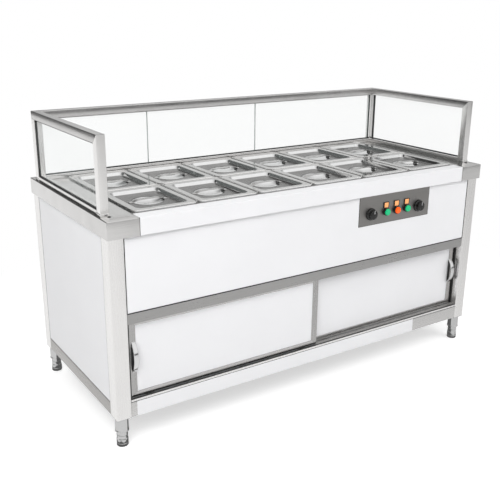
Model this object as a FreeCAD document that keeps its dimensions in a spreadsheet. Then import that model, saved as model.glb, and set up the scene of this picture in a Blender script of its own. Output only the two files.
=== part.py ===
import FreeCAD, Part
import math
import os
import re

import Sketcher

# Heated food service cabinet: six by two half size food pans in a water bath,
# a cupboard with two sliding doors under it and a glass guard round the top.
# Frame: +X right, +Y back, +Z up, millimetres, origin on the floor under the middle.
# Depths below are counted from the middle of the worktop; every sub-part is then set
# back by half of what the knobs reach past it, so that the whole object is centred.

SIZES = {
    # whole object
    "overall_length": 1850,
    "worktop_depth": 800,
    "overall_height": 1160,
    "worktop_height": 880,
    "body_side_inset": 6,
    "body_face_inset": 12,
    # fits, and how far a cutting tool runs past what it cuts
    "cut_past": 1,
    "slide_gap": 0.3,
    "running_gap": 0.05,
    "panel_gap": 1,
    # frame and feet
    "post_width": 58,
    "post_depth": 60,
    "tube_wall": 1.5,
    "base_height": 120,
    "base_rail_height": 60,
    "side_rail_height": 52,
    "side_rail_width": 40,
    "foot_plate": 3,
    "foot_height": 62,
    "foot_tube_radius": 25,
    "foot_lip_radius": 26.5,
    "foot_neck_radius": 20.5,
    "foot_pad_radius": 22,
    "foot_stem_radius": 6,
    "foot_stem_top": 105,
    "foot_chamfer": 3,
    "foot_shoulder": 6,
    # body sheet work
    "apron_height": 65,
    "top_sheet": 1.5,
    "panel_sheet": 1.2,
    "panel_return": 15,
    "deck_sheet": 1.5,
    "ledge_depth": 56,
    "ledge_end": 122,
    "strip_left_gap": 23,
    "strip_right_gap": 287,
    "mid_rail_bottom": 490,
    "mid_rail_height": 40,
    # doors and their tracks
    "door_bottom": 190,
    "door_top": 515,
    "door_thick": 17,
    "door_plane_gap": 3,
    "door_front_offset": 16,
    "door_end_gap": 3,
    "door_lap": 11,
    "door_lap_shift": 1,
    "door_lock_stile": 32,
    "door_lap_stile": 27,
    "door_bottom_rail": 21,
    "door_top_rail": 40,
    "door_lip": 3,
    "door_rebate": 8,
    "track_fin": 2,
    "track_rib": 6,
    "track_hang": 10,
    "glide_length": 40,
    "glide_inset": 60,
    "glide_side_gap": 2,
    "handle_length": 122,
    "handle_stand": 27,
    "handle_width": 19,
    "handle_thick": 5,
    "handle_left_inset": 22,
    "handle_right_inset": 28,
    "handle_low": 352,
    "handle_high": 362,
    # water bath
    "pan_pitch_x": 266,
    "pan_pitch_y": 326,
    "pan_row_middle": -14,
    "pan_clearance": 1,
    "pan_flange": 12.5,
    "pan_lip": 4,
    "pan_depth": 100,
    "pan_sheet": 1,
    "pan_corner": 26,
    "bowl_corner": 36,
    "pan_draft": 3,
    "opening_lap": 12,
    "tank_margin": 2,
    "tank_wall": 1.5,
    "tank_bottom": 700,
    "bar_width": 16,
    "bar_depth": 20,
    "bar_shoulder": 2,
    "heater_radius": 4.25,
    "heater_height": 718,
    "heater_half_gap": 45,
    "heater_pitch": 190,
    "heater_bend_inset": 130,
    "heater_tail": 22,
    "heater_boss_length": 10,
    "heater_boss_radius": 11,
    "heater_foot_pitch": 450,
    "heater_foot_thick": 8,
    "heater_foot_reach": 8,
    # lids
    "lid_inset": 1,
    "lid_sheet": 1,
    "lid_corner": 24,
    "lid_rim_width": 3,
    "lid_rim_height": 2,
    "lid_flange": 30,
    "lid_sink": 13,
    "lid_tub_corner": 22,
    "lid_tub_draft": 20,
    "dish_radius": 60,
    "dish_floor_radius": 50,
    "dish_depth": 15,
    "strap_width": 22,
    "strap_thick": 2,
    "strap_rise": 8,
    "strap_reach": 76,
    "strap_foot": 12,
    "strap_slope": 20,
    # controls
    "plate_length": 406,
    "plate_end_gap": 252,
    "plate_bottom": 685,
    "plate_sheet": 1.5,
    "box_margin": 14,
    "box_depth": 50,
    "control_height": 733,
    "knob_inset": 64,
    "knob_radius": 27,
    "knob_skirt": 8,
    "knob_grip_radius": 21,
    "knob_height": 25.2,
    "knob_taper": 1.5,
    "knob_round": 2,
    "pointer_width": 6,
    "pointer_inset": 3,
    "pointer_rise": 1,
    "spindle_radius": 4,
    "spindle_length": 30,
    "button_shift": 6,
    "button_pitch": 60,
    "button_radius": 14.2,
    "button_proud": 18,
    "button_cap": 10,
    "button_round": 1.5,
    "bezel_radius": 17,
    "bezel_height": 12,
    "legend_height": 761,
    "legend_width": 29,
    "legend_thick": 4,
    "legend_recess": 1,
    "legend_window_gap": 2,
    "legend_window_width": 22,
    "legend_window_height": 24,
    "switch_radius": 12,
    "switch_length": 36,
    "switch_wall": 2,
    # drain
    "drain_end_gap": 88,
    "drain_y": 180,
    "drain_pipe_radius": 13.5,
    "drain_bore_radius": 11,
    "drain_low": 370,
    "valve_height": 435,
    "valve_radius": 22,
    "valve_length": 60,
    "valve_seat": 14,
    "valve_bonnet_radius": 9,
    "valve_stem_radius": 4,
    "valve_stem_length": 16,
    "lever_thick": 3,
    "lever_width": 18,
    "lever_length": 110,
    "lever_tail": 12,
    "lever_hub_radius": 13,
    "gland_end_gap": 101,
    "gland_height": 260,
    "gland_radius": 15,
    "gland_neck_radius": 12,
    "gland_tail": 6,
    "gland_bore_radius": 7,
    # guard
    "guard_tube": 32,
    "guard_side_inset": 10,
    "guard_front": 326,
    "guard_back": 352,
    "guard_sill": 18,
    "glass_thick": 5,
    "glass_joint_left": -412,
    "glass_joint_right": 157,
    "glass_joint_gap": 1,
    "seal_width": 3,
    "seal_thick": 9,
    "seal_outset": 3,
}

# Places worked out from the sizes above, each written once.
PLACES = {
    "half_length": "overall_length / 2",
    "half_depth": "worktop_depth / 2",
    "post_out_x": "half_length - body_side_inset",
    "post_in_x": "post_out_x - post_width",
    "post_out_y": "half_depth - body_face_inset",
    "post_in_y": "post_out_y - post_depth",
    "post_mid_x": "post_out_x - post_width / 2",
    "post_mid_y": "post_out_y - post_depth / 2",
    "under_top": "worktop_height - top_sheet",
    "apron_bottom": "worktop_height - apron_height",
    "base_top": "base_height + base_rail_height",
    "side_rail_top": "base_height + side_rail_height",
    "mid_rail_top": "mid_rail_bottom + mid_rail_height",
    "panel_out_x": "post_out_x - panel_gap",
    "panel_in_x": "panel_out_x - panel_return",
    "panel_out_y": "post_out_y - panel_gap",
    "panel_in_y": "panel_out_y - panel_return",
    "panel_top": "under_top",
    "ledge_half": "half_length - ledge_end",
    "strip_left": "strip_left_gap - post_in_x",
    "strip_right": "post_in_x - strip_right_gap",
    "ledge_back": "-half_depth + ledge_depth",
    # doors, front faces looking to -Y
    "front_door_face": "-post_out_y + door_front_offset",
    "front_door_back": "front_door_face + door_thick",
    "rear_door_face": "front_door_back + door_plane_gap",
    "rear_door_back": "rear_door_face + door_thick",
    "door_end": "post_in_x - door_end_gap",
    "fin_front": "front_door_face - (door_plane_gap + track_fin) / 2",
    "fin_middle": "front_door_back + (door_plane_gap - track_fin) / 2",
    "fin_rear": "rear_door_back + (door_plane_gap - track_fin) / 2",
    "handle_radius": "((handle_length / 2) ^ 2 + handle_stand ^ 2) / (2 * handle_stand)",
    # pans, lids and bath
    "pan_width": "pan_pitch_x - pan_clearance",
    "pan_length": "pan_pitch_y - pan_clearance",
    "bowl_width": "pan_width - 2 * pan_flange",
    "bowl_length": "pan_length - 2 * pan_flange",
    "flange_top": "worktop_height + pan_lip",
    "grid_half_x": "3 * pan_pitch_x",
    "opening_x": "grid_half_x - opening_lap",
    "opening_front": "pan_row_middle - pan_pitch_y + opening_lap",
    "opening_back": "pan_row_middle + pan_pitch_y - opening_lap",
    "tank_x": "opening_x + tank_margin",
    "tank_front": "opening_front - tank_margin",
    "tank_back": "opening_back + tank_margin",
    "lid_width": "pan_width - 2 * lid_inset",
    "lid_length": "pan_length - 2 * lid_inset",
    "tub_width": "lid_width - 2 * lid_flange",
    "tub_length": "lid_length - 2 * lid_flange",
    "lid_floor": "lid_sheet - lid_sink",
    "dish_floor": "lid_floor - dish_depth",
    "strap_top": "lid_floor + strap_rise + strap_thick",
    # controls, faces looking to -Y
    "plate_right": "post_in_x - plate_end_gap",
    "plate_left": "plate_right - plate_length",
    "plate_top": "apron_bottom",
    "plate_back": "-panel_out_y",
    "plate_face": "plate_back - plate_sheet",
    "front_reach": "slide_gap + knob_height - plate_face",
    "set_back": "(front_reach - half_depth) / 2",
    "knob_left_x": "plate_left + knob_inset",
    "knob_right_x": "plate_right - knob_inset",
    "button_middle_x": "(plate_left + plate_right) / 2 + button_shift",
    "box_left": "plate_left + box_margin",
    "box_right": "plate_right - box_margin",
    "box_bottom": "plate_bottom + box_margin",
    "box_top": "plate_top - box_margin",
    "box_back": "plate_back + box_depth",
    # drain
    "drain_x": "drain_end_gap - tank_x",
    "valve_face": "drain_y - valve_radius",
    "gland_x": "post_in_x - gland_end_gap",
    # guard
    "guard_out_x": "half_length - guard_side_inset",
    "guard_in_x": "guard_out_x - guard_tube",
    "sill_top": "worktop_height + guard_sill",
    "guard_rail": "overall_height - guard_tube",
    "side_seal_out": "guard_out_x - seal_outset",
    "side_seal_in": "side_seal_out - seal_thick",
    "side_glass_out": "side_seal_out - (seal_thick - glass_thick) / 2",
    "back_seal_mid": "guard_back - guard_tube / 2",
}

DOC = FreeCAD.newDocument("food_warmer_cabinet")
SHEET = DOC.addObject("Spreadsheet::Sheet", "Sizes")
for row, (size_name, size) in enumerate(SIZES.items(), start=1):
    SHEET.set(f"A{row}", size_name)
    SHEET.set(f"B{row}", str(size))
    SHEET.setAlias(f"B{row}", size_name)
DOC.recompute()

NODES = []


def linked(text, leaf):
    """Replace each place by its own working and each size by what leaf makes of it."""
    def swap(match):
        word = match.group(0)
        if word in PLACES:
            return "(" + linked(PLACES[word], leaf) + ")"
        if word in SIZES:
            return leaf(word)
        return word
    return re.sub(r"[A-Za-z_]\w*", swap, text)


def bind(item, prop, text):
    """Bind one property to the sheet."""
    item.setExpression(prop, linked(text, lambda word: "Sizes." + word))


def number(text):
    """Present value of an expression, used as a sketch's first guess."""
    return FreeCAD.Units.Quantity(linked(text, lambda word: str(SHEET.get(word)))).Value


def place(item, x="0", y="0", z="0", axis=None, angle=0):
    """Turn an item about an axis and bind where it stands."""
    if axis:
        item.Placement = FreeCAD.Placement(FreeCAD.Vector(), FreeCAD.Rotation(FreeCAD.Vector(*axis), angle))
    bind(item, "Placement.Base.x", x)
    bind(item, "Placement.Base.y", y)
    bind(item, "Placement.Base.z", z)
    return item


def node(label, item):
    """Keep an item as one named sub-part, set back with the rest."""
    item.Label = label
    stands = [text for prop, text in item.ExpressionEngine if prop.endswith("Placement.Base.y")]
    behind = linked("set_back", lambda word: "Sizes." + word)
    item.setExpression("Placement.Base.y", " + ".join(stands + [behind]))
    NODES.append(item)
    return item


def box(x, y, z, name="Block"):
    """Block between a low and a high place on each axis."""
    item = DOC.addObject("Part::Box", name)
    for prop, (low, high) in zip(("Length", "Width", "Height"), (x, y, z)):
        bind(item, prop, f"({high}) - ({low})")
    return place(item, x[0], y[0], z[0])


TURNS = {"x": ((0, 1, 0), 90), "y": ((1, 0, 0), -90), "z": (None, 0)}


def rod(along, centre, span, radius, name="Rod"):
    """Round bar along x, y or z; centre gives the other two places in x, y, z order."""
    item = DOC.addObject("Part::Cylinder", name)
    bind(item, "Radius", radius)
    bind(item, "Height", f"({span[1]}) - ({span[0]})")
    spot = list(centre)
    spot.insert("xyz".index(along), span[0])
    return place(item, *spot, *TURNS[along])


def several(kind, items, name):
    item = DOC.addObject(kind, name)
    setattr(item, "Links" if kind == "Part::Compound" else "Shapes", items)
    return item


def group(items, name="Group"):
    """Separate solids kept side by side."""
    return several("Part::Compound", items, name)


def fuse(items, name="Fusion"):
    """Solids welded into one."""
    return several("Part::MultiFuse", items, name)


def cut(base, tools, name="Cut"):
    """Base less its tools."""
    item = DOC.addObject("Part::Cut", name)
    item.Base = base
    item.Tool = tools[0] if len(tools) == 1 else fuse(tools, name + "Tools")
    return item


def tube(x, y, z, open_axis, name="Tube"):
    """Square tube of the frame's wall, open at both ends along one axis."""
    spans = {"x": x, "y": y, "z": z}
    inner = {
        key: span if key == open_axis else (f"{span[0]} + tube_wall", f"{span[1]} - tube_wall")
        for key, span in spans.items()
    }
    return cut(box(x, y, z), [box(inner["x"], inner["y"], inner["z"])], name)


def new_body(name):
    return DOC.addObject("PartDesign::Body", name)


def new_sketch(body, role="XY_Plane", offset="0"):
    """Sketch on one of the body's own planes, lifted along its normal."""
    item = body.newObject("Sketcher::SketchObject", "Sketch")
    plane = [feature for feature in body.Origin.OriginFeatures if feature.Role == role][0]
    item.AttachmentSupport = [(plane, "")]
    item.MapMode = "FlatFace"
    bind(item, "AttachmentOffset.Base.z", offset)
    return item


def bound_constraint(sketch, kind, *args, text):
    """Dimension whose value follows the sheet."""
    index = sketch.addConstraint(Sketcher.Constraint(kind, *args, number(text)))
    bind(sketch, f"Constraints[{index}]", text)


def outline(sketch, points):
    """Closed outline through points, each written as two places from the origin."""
    spots = [FreeCAD.Vector(number(x), number(y), 0) for x, y in points]
    count = len(points)
    for index in range(count):
        sketch.addGeometry(Part.LineSegment(spots[index], spots[(index + 1) % count]), False)
    for index, (x, y) in enumerate(points):
        before = (index - 1) % count
        sketch.addConstraint(Sketcher.Constraint("Coincident", before, 2, index, 1))
        bound_constraint(sketch, "DistanceX", -1, 1, index, 1, text=x)
        bound_constraint(sketch, "DistanceY", -1, 1, index, 1, text=y)


def rounded(sketch, width, length, radius):
    """Rectangle with round corners, centred on the sketch's origin."""
    first = sketch.GeometryCount
    half_x, half_y, corner = number(width) / 2, number(length) / 2, number(radius)
    flat_x, flat_y = half_x - corner, half_y - corner
    ends = (
        (-flat_x, -half_y, flat_x, -half_y),
        (half_x, -flat_y, half_x, flat_y),
        (flat_x, half_y, -flat_x, half_y),
        (-half_x, flat_y, -half_x, -flat_y),
    )
    for x0, y0, x1, y1 in ends:
        sketch.addGeometry(Part.LineSegment(FreeCAD.Vector(x0, y0, 0), FreeCAD.Vector(x1, y1, 0)), False)
    quarter = math.pi / 2
    centres = ((flat_x, -flat_y), (flat_x, flat_y), (-flat_x, flat_y), (-flat_x, -flat_y))
    for quadrant, (x, y) in enumerate(centres):
        circle = Part.Circle(FreeCAD.Vector(x, y, 0), FreeCAD.Vector(0, 0, 1), corner)
        sketch.addGeometry(Part.ArcOfCircle(circle, (quadrant - 1) * quarter, quadrant * quarter), False)
    for side in range(4):
        line, arc = first + side, first + 4 + side
        sketch.addConstraint(Sketcher.Constraint("Tangent", line, 2, arc, 1))
        sketch.addConstraint(Sketcher.Constraint("Tangent", arc, 2, first + (side + 1) % 4, 1))
        sketch.addConstraint(Sketcher.Constraint("Horizontal" if side % 2 == 0 else "Vertical", line))
        if side:
            sketch.addConstraint(Sketcher.Constraint("Equal", first + 4, arc))
    sketch.addConstraint(Sketcher.Constraint("Symmetric", first, 1, first + 2, 1, -1, 1))
    bound_constraint(sketch, "DistanceX", first + 3, 1, first + 1, 1, text=width)
    bound_constraint(sketch, "DistanceY", first, 1, first + 2, 1, text=length)
    bound_constraint(sketch, "Radius", first + 4, text=radius)


def extrude(body, kind, sketch, length, down=False, draft=None, centred=False):
    """Pad or pocket of a sketch, up or down, with an optional draft."""
    item = body.newObject("PartDesign::" + kind, kind)
    item.Profile = sketch
    item.Type = 0
    if centred:
        item.Midplane = True
    if kind == "Pocket":
        item.Reversed = not down
    else:
        item.Reversed = down
    bind(item, "Length", length)
    if draft:
        bind(item, "TaperAngle", draft)
    sketch.Visibility = False
    body.Tip = item
    return item


def turn(body, points, kind="Revolution"):
    """Turned shape about Z from an outline of radius and height."""
    sketch = new_sketch(body, "XZ_Plane")
    outline(sketch, points)
    item = body.newObject("PartDesign::" + kind, kind)
    item.Profile = sketch
    item.ReferenceAxis = (sketch, ["V_Axis"])
    item.Angle = 360
    sketch.Visibility = False
    body.Tip = item
    return item


def turned(name, points):
    """Body with one turned shape."""
    body = new_body(name)
    turn(body, points)
    return body


def corners(make):
    """One item at each of the four posts: left or right, front or back."""
    return [make(side, face) for face in (-1, 1) for side in (-1, 1)]


def span(sign, low, high):
    """Span from low to high on the plus side, or its mirror image on the minus side."""
    return (low, high) if sign > 0 else (f"-({high})", f"-({low})")


def base_frame():
    """Four square posts with closed lower ends, joined by rails round the bottom."""
    def post(side, face):
        x, y = span(side, "post_in_x", "post_out_x"), span(face, "post_in_y", "post_out_y")
        hollow = box(
            span(side, "post_in_x + tube_wall", "post_out_x - tube_wall"),
            span(face, "post_in_y + tube_wall", "post_out_y - tube_wall"),
            ("base_height + foot_plate", "under_top"),
        )
        return cut(box(x, y, ("base_height", "under_top")), [hollow], "Post")

    across = ("-post_in_x", "post_in_x")
    rails = [
        tube(across, span(face, "post_in_y", "post_out_y"), ("base_height", "base_top"), "x")
        for face in (-1, 1)
    ]
    rails += [
        tube(
            span(side, "post_out_x - side_rail_width", "post_out_x"),
            ("-post_in_y", "post_in_y"),
            ("base_height", "side_rail_top"),
            "y",
        )
        for side in (-1, 1)
    ]
    return node("base_frame", group(corners(post) + rails))


def foot_tubes():
    """Round socket with a rolled lip under a square plate, one under each post."""
    profile = (
        ("foot_stem_radius + running_gap", "foot_height"),
        ("foot_lip_radius", "foot_height"),
        ("foot_lip_radius", "foot_height + foot_plate"),
        ("foot_tube_radius", "foot_height + 1.5 * foot_plate"),
        ("foot_tube_radius", "base_height - foot_plate / 2"),
        ("foot_tube_radius - tube_wall", "base_height - foot_plate / 2"),
        ("foot_tube_radius - tube_wall", "foot_height + foot_plate"),
        ("foot_stem_radius + running_gap", "foot_height + foot_plate"),
    )

    def foot(side, face):
        x, y = f"{side} * post_mid_x", f"{face} * post_mid_y"
        socket = place(turned("Socket", profile), x, y)
        plate = box(
            span(side, "post_in_x", "post_out_x"),
            span(face, "post_in_y", "post_out_y"),
            ("base_height - foot_plate", "base_height"),
        )
        return fuse([socket, plate], "FootTube")

    return node("foot_tubes", group(corners(foot)))


def foot_adjusters():
    """Round pad on a stem that runs through the socket's floor plate."""
    profile = (
        ("0", "0"),
        ("foot_pad_radius - foot_chamfer", "0"),
        ("foot_pad_radius", "foot_chamfer"),
        ("foot_pad_radius", "foot_height / 2"),
        ("foot_neck_radius", "foot_height / 2 + foot_shoulder"),
        ("foot_neck_radius", "foot_height - slide_gap"),
        ("foot_stem_radius", "foot_height - slide_gap"),
        ("foot_stem_radius", "foot_stem_top"),
        ("0", "foot_stem_top"),
    )
    names = ("front_left", "front_right", "back_left", "back_right")
    turned_pads = corners(
        lambda side, face: place(turned("Adjuster", profile), f"{side} * post_mid_x", f"{face} * post_mid_y")
    )
    for name, item in zip(names, turned_pads):
        node("foot_adjuster_" + name, item)


def bottom_deck():
    """Cupboard floor between the side panels, resting on the side rails."""
    return node("bottom_deck", box(
        ("-panel_in_x + panel_gap", "panel_in_x - panel_gap"),
        ("-post_in_y", "post_in_y"),
        ("side_rail_top", "side_rail_top + deck_sheet"),
    ))


def body_panels():
    """Folded white panels at both sides and the back, open towards the inside."""
    def side_panel(side):
        shell = box(
            span(side, "panel_in_x", "panel_out_x"),
            ("-post_in_y + panel_gap", "post_in_y - panel_gap"),
            ("side_rail_top", "panel_top"),
        )
        hollow = box(
            span(side, "panel_in_x - cut_past", "panel_out_x - panel_sheet"),
            ("-post_in_y + panel_gap + panel_sheet", "post_in_y - panel_gap - panel_sheet"),
            ("side_rail_top + panel_sheet", "panel_top - panel_sheet"),
        )
        return cut(shell, [hollow], "SidePanel")

    back = box(
        ("-post_in_x + panel_gap", "post_in_x - panel_gap"),
        ("panel_in_y", "panel_out_y"),
        ("base_top", "panel_top"),
    )
    hollow = box(
        ("-post_in_x + panel_gap + panel_sheet", "post_in_x - panel_gap - panel_sheet"),
        ("panel_in_y - cut_past", "panel_out_y - panel_sheet"),
        ("base_top + panel_sheet", "panel_top - panel_sheet"),
    )
    gland_hole = rod(
        "y", ("gland_x", "gland_height"), ("panel_in_y", "panel_out_y + cut_past"), "gland_neck_radius",
    )
    back_panel = cut(back, [hollow, gland_hole], "BackPanel")
    return node("body_panels", group([side_panel(-1), side_panel(1), back_panel]))


def front_panels():
    """White front over the doors, with the hole for the controls, and the strip on the base rail."""
    low, high = "mid_rail_top + 2 * panel_gap", "panel_top"
    shell = box(
        ("-post_in_x + 2 * panel_gap", "post_in_x - 2 * panel_gap"),
        ("-panel_out_y", "-panel_in_y"),
        (low, high),
    )
    hollow = box(
        ("-post_in_x + 2 * panel_gap + panel_sheet", "post_in_x - 2 * panel_gap - panel_sheet"),
        ("-panel_out_y + panel_sheet", "-panel_in_y + cut_past"),
        (f"{low} + panel_sheet", f"{high} - panel_sheet"),
    )
    opening = box(
        ("box_left - panel_gap", "box_right + panel_gap"),
        ("-panel_out_y - cut_past", "-panel_in_y + cut_past"),
        ("box_bottom - panel_gap", "box_top + panel_gap"),
    )
    strip = box(
        ("strip_left", "strip_right"),
        ("-post_out_y - panel_gap", "-post_out_y"),
        ("base_height", "base_top"),
    )
    return node("front_panels", group([cut(shell, [hollow, opening], "FrontPanel"), strip]))


def mid_rail():
    """Inverted channel across the front above the doors."""
    across = ("-post_in_x", "post_in_x")
    channel = box(across, ("-post_out_y", "-post_in_y"), ("mid_rail_bottom", "mid_rail_top"))
    hollow = box(
        across,
        ("-post_out_y + tube_wall", "-post_in_y - tube_wall"),
        ("mid_rail_bottom", "mid_rail_top - tube_wall"),
    )
    return node("mid_rail", cut(channel, [hollow]))


def partition_shelf():
    """Sheet between the cupboard and the heated part, with a hole for the drain pipe."""
    heights = ("mid_rail_top - tube_wall", "mid_rail_top")
    middle = box(("-panel_in_x + panel_gap", "panel_in_x - panel_gap"), ("-post_in_y", "post_in_y"), heights)
    rear = box(
        ("-post_in_x + panel_gap", "post_in_x - panel_gap"),
        ("post_in_y", "panel_in_y - panel_gap"),
        heights,
    )
    hole = rod(
        "z", ("drain_x", "drain_y"), ("mid_rail_bottom", "mid_rail_top + cut_past"),
        "drain_pipe_radius + panel_gap",
    )
    return node("partition_shelf", cut(fuse([middle, rear]), [hole]))


def worktop():
    """Folded top of four strips welded round the bath opening, with an apron and a notch for the ledge."""
    hollow = box(
        ("-half_length + top_sheet", "half_length - top_sheet"),
        ("-half_depth + top_sheet", "half_depth - top_sheet"),
        ("apron_bottom", "under_top"),
    )
    notch = box(
        ("-ledge_half - slide_gap", "ledge_half + slide_gap"),
        ("-half_depth - cut_past", "ledge_back + slide_gap"),
        ("apron_bottom - cut_past", "worktop_height + cut_past"),
    )

    def strip(x, y, tools):
        return cut(box(x, y, ("apron_bottom", "worktop_height")), tools, "Strip")

    ends = [
        strip(span(side, "opening_x", "half_length"), ("-half_depth", "opening_back"), [hollow, notch])
        for side in (-1, 1)
    ]
    back = strip(("-half_length", "half_length"), ("opening_back", "half_depth"), [hollow])
    front = box(
        ("-opening_x", "opening_x"),
        ("ledge_back + slide_gap", "opening_front"),
        ("under_top", "worktop_height"),
    )
    return node("worktop", group(ends + [back, front]))


def front_ledge():
    """White folded ledge that fills the notch flush with the worktop."""
    top = box(("-ledge_half", "ledge_half"), ("-half_depth", "ledge_back"), ("under_top", "worktop_height"))
    apron = box(
        ("-ledge_half", "ledge_half"),
        ("-half_depth", "-half_depth + top_sheet"),
        ("apron_bottom", "worktop_height"),
    )
    return node("front_ledge", fuse([top, apron]))


def door_tracks():
    """Lower plate with three ribs, and three fins hanging inside the mid rail."""
    across = ("-post_in_x", "post_in_x")
    fins = [(place_y, f"{place_y} + track_fin") for place_y in ("fin_front", "fin_middle", "fin_rear")]
    plate_top = "base_top + track_fin"
    lower = [box(across, ("-post_out_y + panel_gap", "-post_in_y"), ("base_top", plate_top))]
    lower += [box(across, fin, (plate_top, "base_top + track_fin + track_rib")) for fin in fins]
    under = "mid_rail_top - tube_wall"
    upper = [box(
        across,
        ("-post_out_y + tube_wall", "-post_in_y - tube_wall"),
        (f"{under} - track_fin", under),
    )]
    upper += [box(across, fin, ("door_top - track_hang", f"{under} - track_fin")) for fin in fins]
    return node("door_tracks", group([fuse(lower), fuse(upper)]))


def handle(name):
    """Bow strap standing on two ends, in its own place about Z with the arch to -Y."""
    centre_y = "handle_radius - handle_stand"
    half_width = ("-handle_width / 2", "handle_width / 2")
    outer = rod("x", (centre_y, "0"), half_width, "handle_radius")
    inner = rod("x", (centre_y, "0"), ("-handle_width", "handle_width"), "handle_radius - handle_thick")
    half = box(half_width, ("-handle_stand - cut_past", "0"), ("-handle_length", "handle_length"))
    bow = DOC.addObject("Part::Common", name)
    bow.Base = cut(outer, [inner])
    bow.Tool = half
    return bow


def door(name, left, right, face, stiles, handle_x, handle_z):
    """Folded panel held in the rebate of a steel frame, on nylon glides, with a bow handle."""
    back = f"{face} + door_thick"
    left_stile, right_stile = stiles
    outer = box((left, right), (face, back), ("door_bottom", "door_top"))
    sight_x = (f"{left} + {left_stile}", f"{right} - {right_stile}")
    sight_z = ("door_bottom + door_bottom_rail", "door_top - door_top_rail")
    sight = box(sight_x, (f"{face} - cut_past", f"{back} + cut_past"), sight_z)
    rebate_x = (f"{sight_x[0]} - door_rebate", f"{sight_x[1]} + door_rebate")
    rebate_z = (f"{sight_z[0]} - door_rebate", f"{sight_z[1]} + door_rebate")
    rebate = box(rebate_x, (f"{face} + door_lip", f"{back} + cut_past"), rebate_z)
    glides = [
        box(
            (f"{start} + {shift}", f"{start} + {shift} + glide_length"),
            (f"{face} + glide_side_gap", f"{back} - glide_side_gap"),
            ("base_top + track_fin + slide_gap", "door_bottom"),
        )
        for start, shift in ((left, "glide_inset"), (right, "-glide_inset - glide_length"))
    ]
    node(name + "_frame", group([cut(outer, [sight, rebate])] + glides))
    tray = box(rebate_x, (f"{face} + door_lip", f"{back} - door_lip"), rebate_z)
    hollow = box(
        (f"{rebate_x[0]} + panel_sheet", f"{rebate_x[1]} - panel_sheet"),
        (f"{face} + door_lip + panel_sheet", f"{back} + cut_past"),
        (f"{rebate_z[0]} + panel_sheet", f"{rebate_z[1]} - panel_sheet"),
    )
    node(name + "_panel", cut(tray, [hollow]))
    node(name + "_handle", place(handle("Handle"), handle_x, face, handle_z))


def doors():
    """Front door on the left, rear door on the right, lapping in the middle."""
    door(
        "door_left", "-door_end", "door_lap_shift + door_lap", "front_door_face",
        ("door_lock_stile", "door_lap_stile"), "-door_end + handle_left_inset", "handle_low",
    )
    door(
        "door_right", "door_lap_shift - door_lap", "door_end", "rear_door_face",
        ("door_lap_stile", "door_lock_stile"), "door_end - handle_right_inset", "handle_high",
    )


def water_tank():
    """Open bath hung under the worktop: a floor with the drain hole and four walls welded to it."""
    out_x, out_front, out_back = "tank_x + tank_wall", "tank_front - tank_wall", "tank_back + tank_wall"
    floor_top = "tank_bottom + tank_wall"
    wall = (floor_top, "under_top")
    floor = box((f"-({out_x})", out_x), (out_front, out_back), ("tank_bottom", floor_top))
    drain = rod(
        "z", ("drain_x", "drain_y"),
        ("tank_bottom - cut_past", f"{floor_top} + cut_past"), "drain_bore_radius",
    )
    right = box(("tank_x", out_x), (out_front, out_back), wall)
    heater_holes = [
        rod("x", (y, "heater_height"), ("tank_x - cut_past", f"{out_x} + cut_past"), "heater_radius")
        for y in heater_legs()
    ]
    walls = [
        box((f"-({out_x})", "-tank_x"), (out_front, out_back), wall),
        box(("-tank_x", "tank_x"), (out_front, "tank_front"), wall),
        box(("-tank_x", "tank_x"), ("tank_back", out_back), wall),
        cut(right, heater_holes, "RightWall"),
    ]
    return node("water_tank", group([cut(floor, [drain], "TankFloor")] + walls))


def heater_legs():
    """Middle place in Y of every straight heater leg."""
    return [
        f"pan_row_middle + {loop} * heater_pitch + {leg} * heater_half_gap"
        for loop in (-1, 0, 1) for leg in (-1, 1)
    ]


def heating_elements():
    """Three hairpin heaters on feet, with a boss on each end outside the tank wall."""
    wall_out, bend_x = "tank_x + tank_wall", "-opening_x + heater_bend_inset"
    legs = heater_legs()
    loops = []
    for loop in (-1, 0, 1):
        middle = f"pan_row_middle + {loop} * heater_pitch"
        pieces = []
        for y in legs[2 * loop + 2:2 * loop + 4]:
            spot, boss = (y, "heater_height"), (wall_out, f"{wall_out} + heater_boss_length")
            pieces.append(rod("x", spot, (bend_x, f"{wall_out} + heater_tail"), "heater_radius"))
            pieces.append(rod("x", spot, boss, "heater_boss_radius"))
        bend = DOC.addObject("Part::Torus", "Bend")
        bind(bend, "Radius1", "heater_half_gap")
        bind(bend, "Radius2", "heater_radius")
        bend.Angle3 = 180
        pieces.append(place(bend, bend_x, middle, "heater_height", (0, 0, 1), 90))
        for step in (-1, 0, 1):
            x = f"{step} * heater_foot_pitch"
            pieces.append(box(
                (f"{x} - heater_foot_thick / 2", f"{x} + heater_foot_thick / 2"),
                (
                    f"{middle} - heater_half_gap - heater_foot_reach",
                    f"{middle} + heater_half_gap + heater_foot_reach",
                ),
                ("tank_bottom + tank_wall", "heater_height"),
            ))
        loops.append(fuse(pieces, "Heater"))
    return node("heating_elements", group(loops))


def pan_support_grid():
    """One long bar and ten short ones welded to it, between the pans, with their ends on the tank walls."""
    low, high = "worktop_height - bar_depth", "worktop_height"
    shoulder = "under_top - bar_shoulder"
    middle = ("pan_row_middle - bar_width / 2", "pan_row_middle + bar_width / 2")
    long_bar = fuse([
        box(("-opening_x + panel_gap", "opening_x - panel_gap"), middle, (low, high)),
        box(("-tank_x", "tank_x"), middle, (low, shoulder)),
    ], "LongBar")
    bars = [long_bar]
    for column in (-2, -1, 0, 1, 2):
        x = (f"{column} * pan_pitch_x - bar_width / 2", f"{column} * pan_pitch_x + bar_width / 2")
        halves = (
            (("opening_front + panel_gap", middle[0]), ("tank_front", middle[0])),
            ((middle[1], "opening_back - panel_gap"), (middle[1], "tank_back")),
        )
        for upper, lower in halves:
            bars.append(fuse([box(x, upper, (low, high)), box(x, lower, (low, shoulder))], "ShortBar"))
    return node("pan_support_grid", group(bars))


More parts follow.
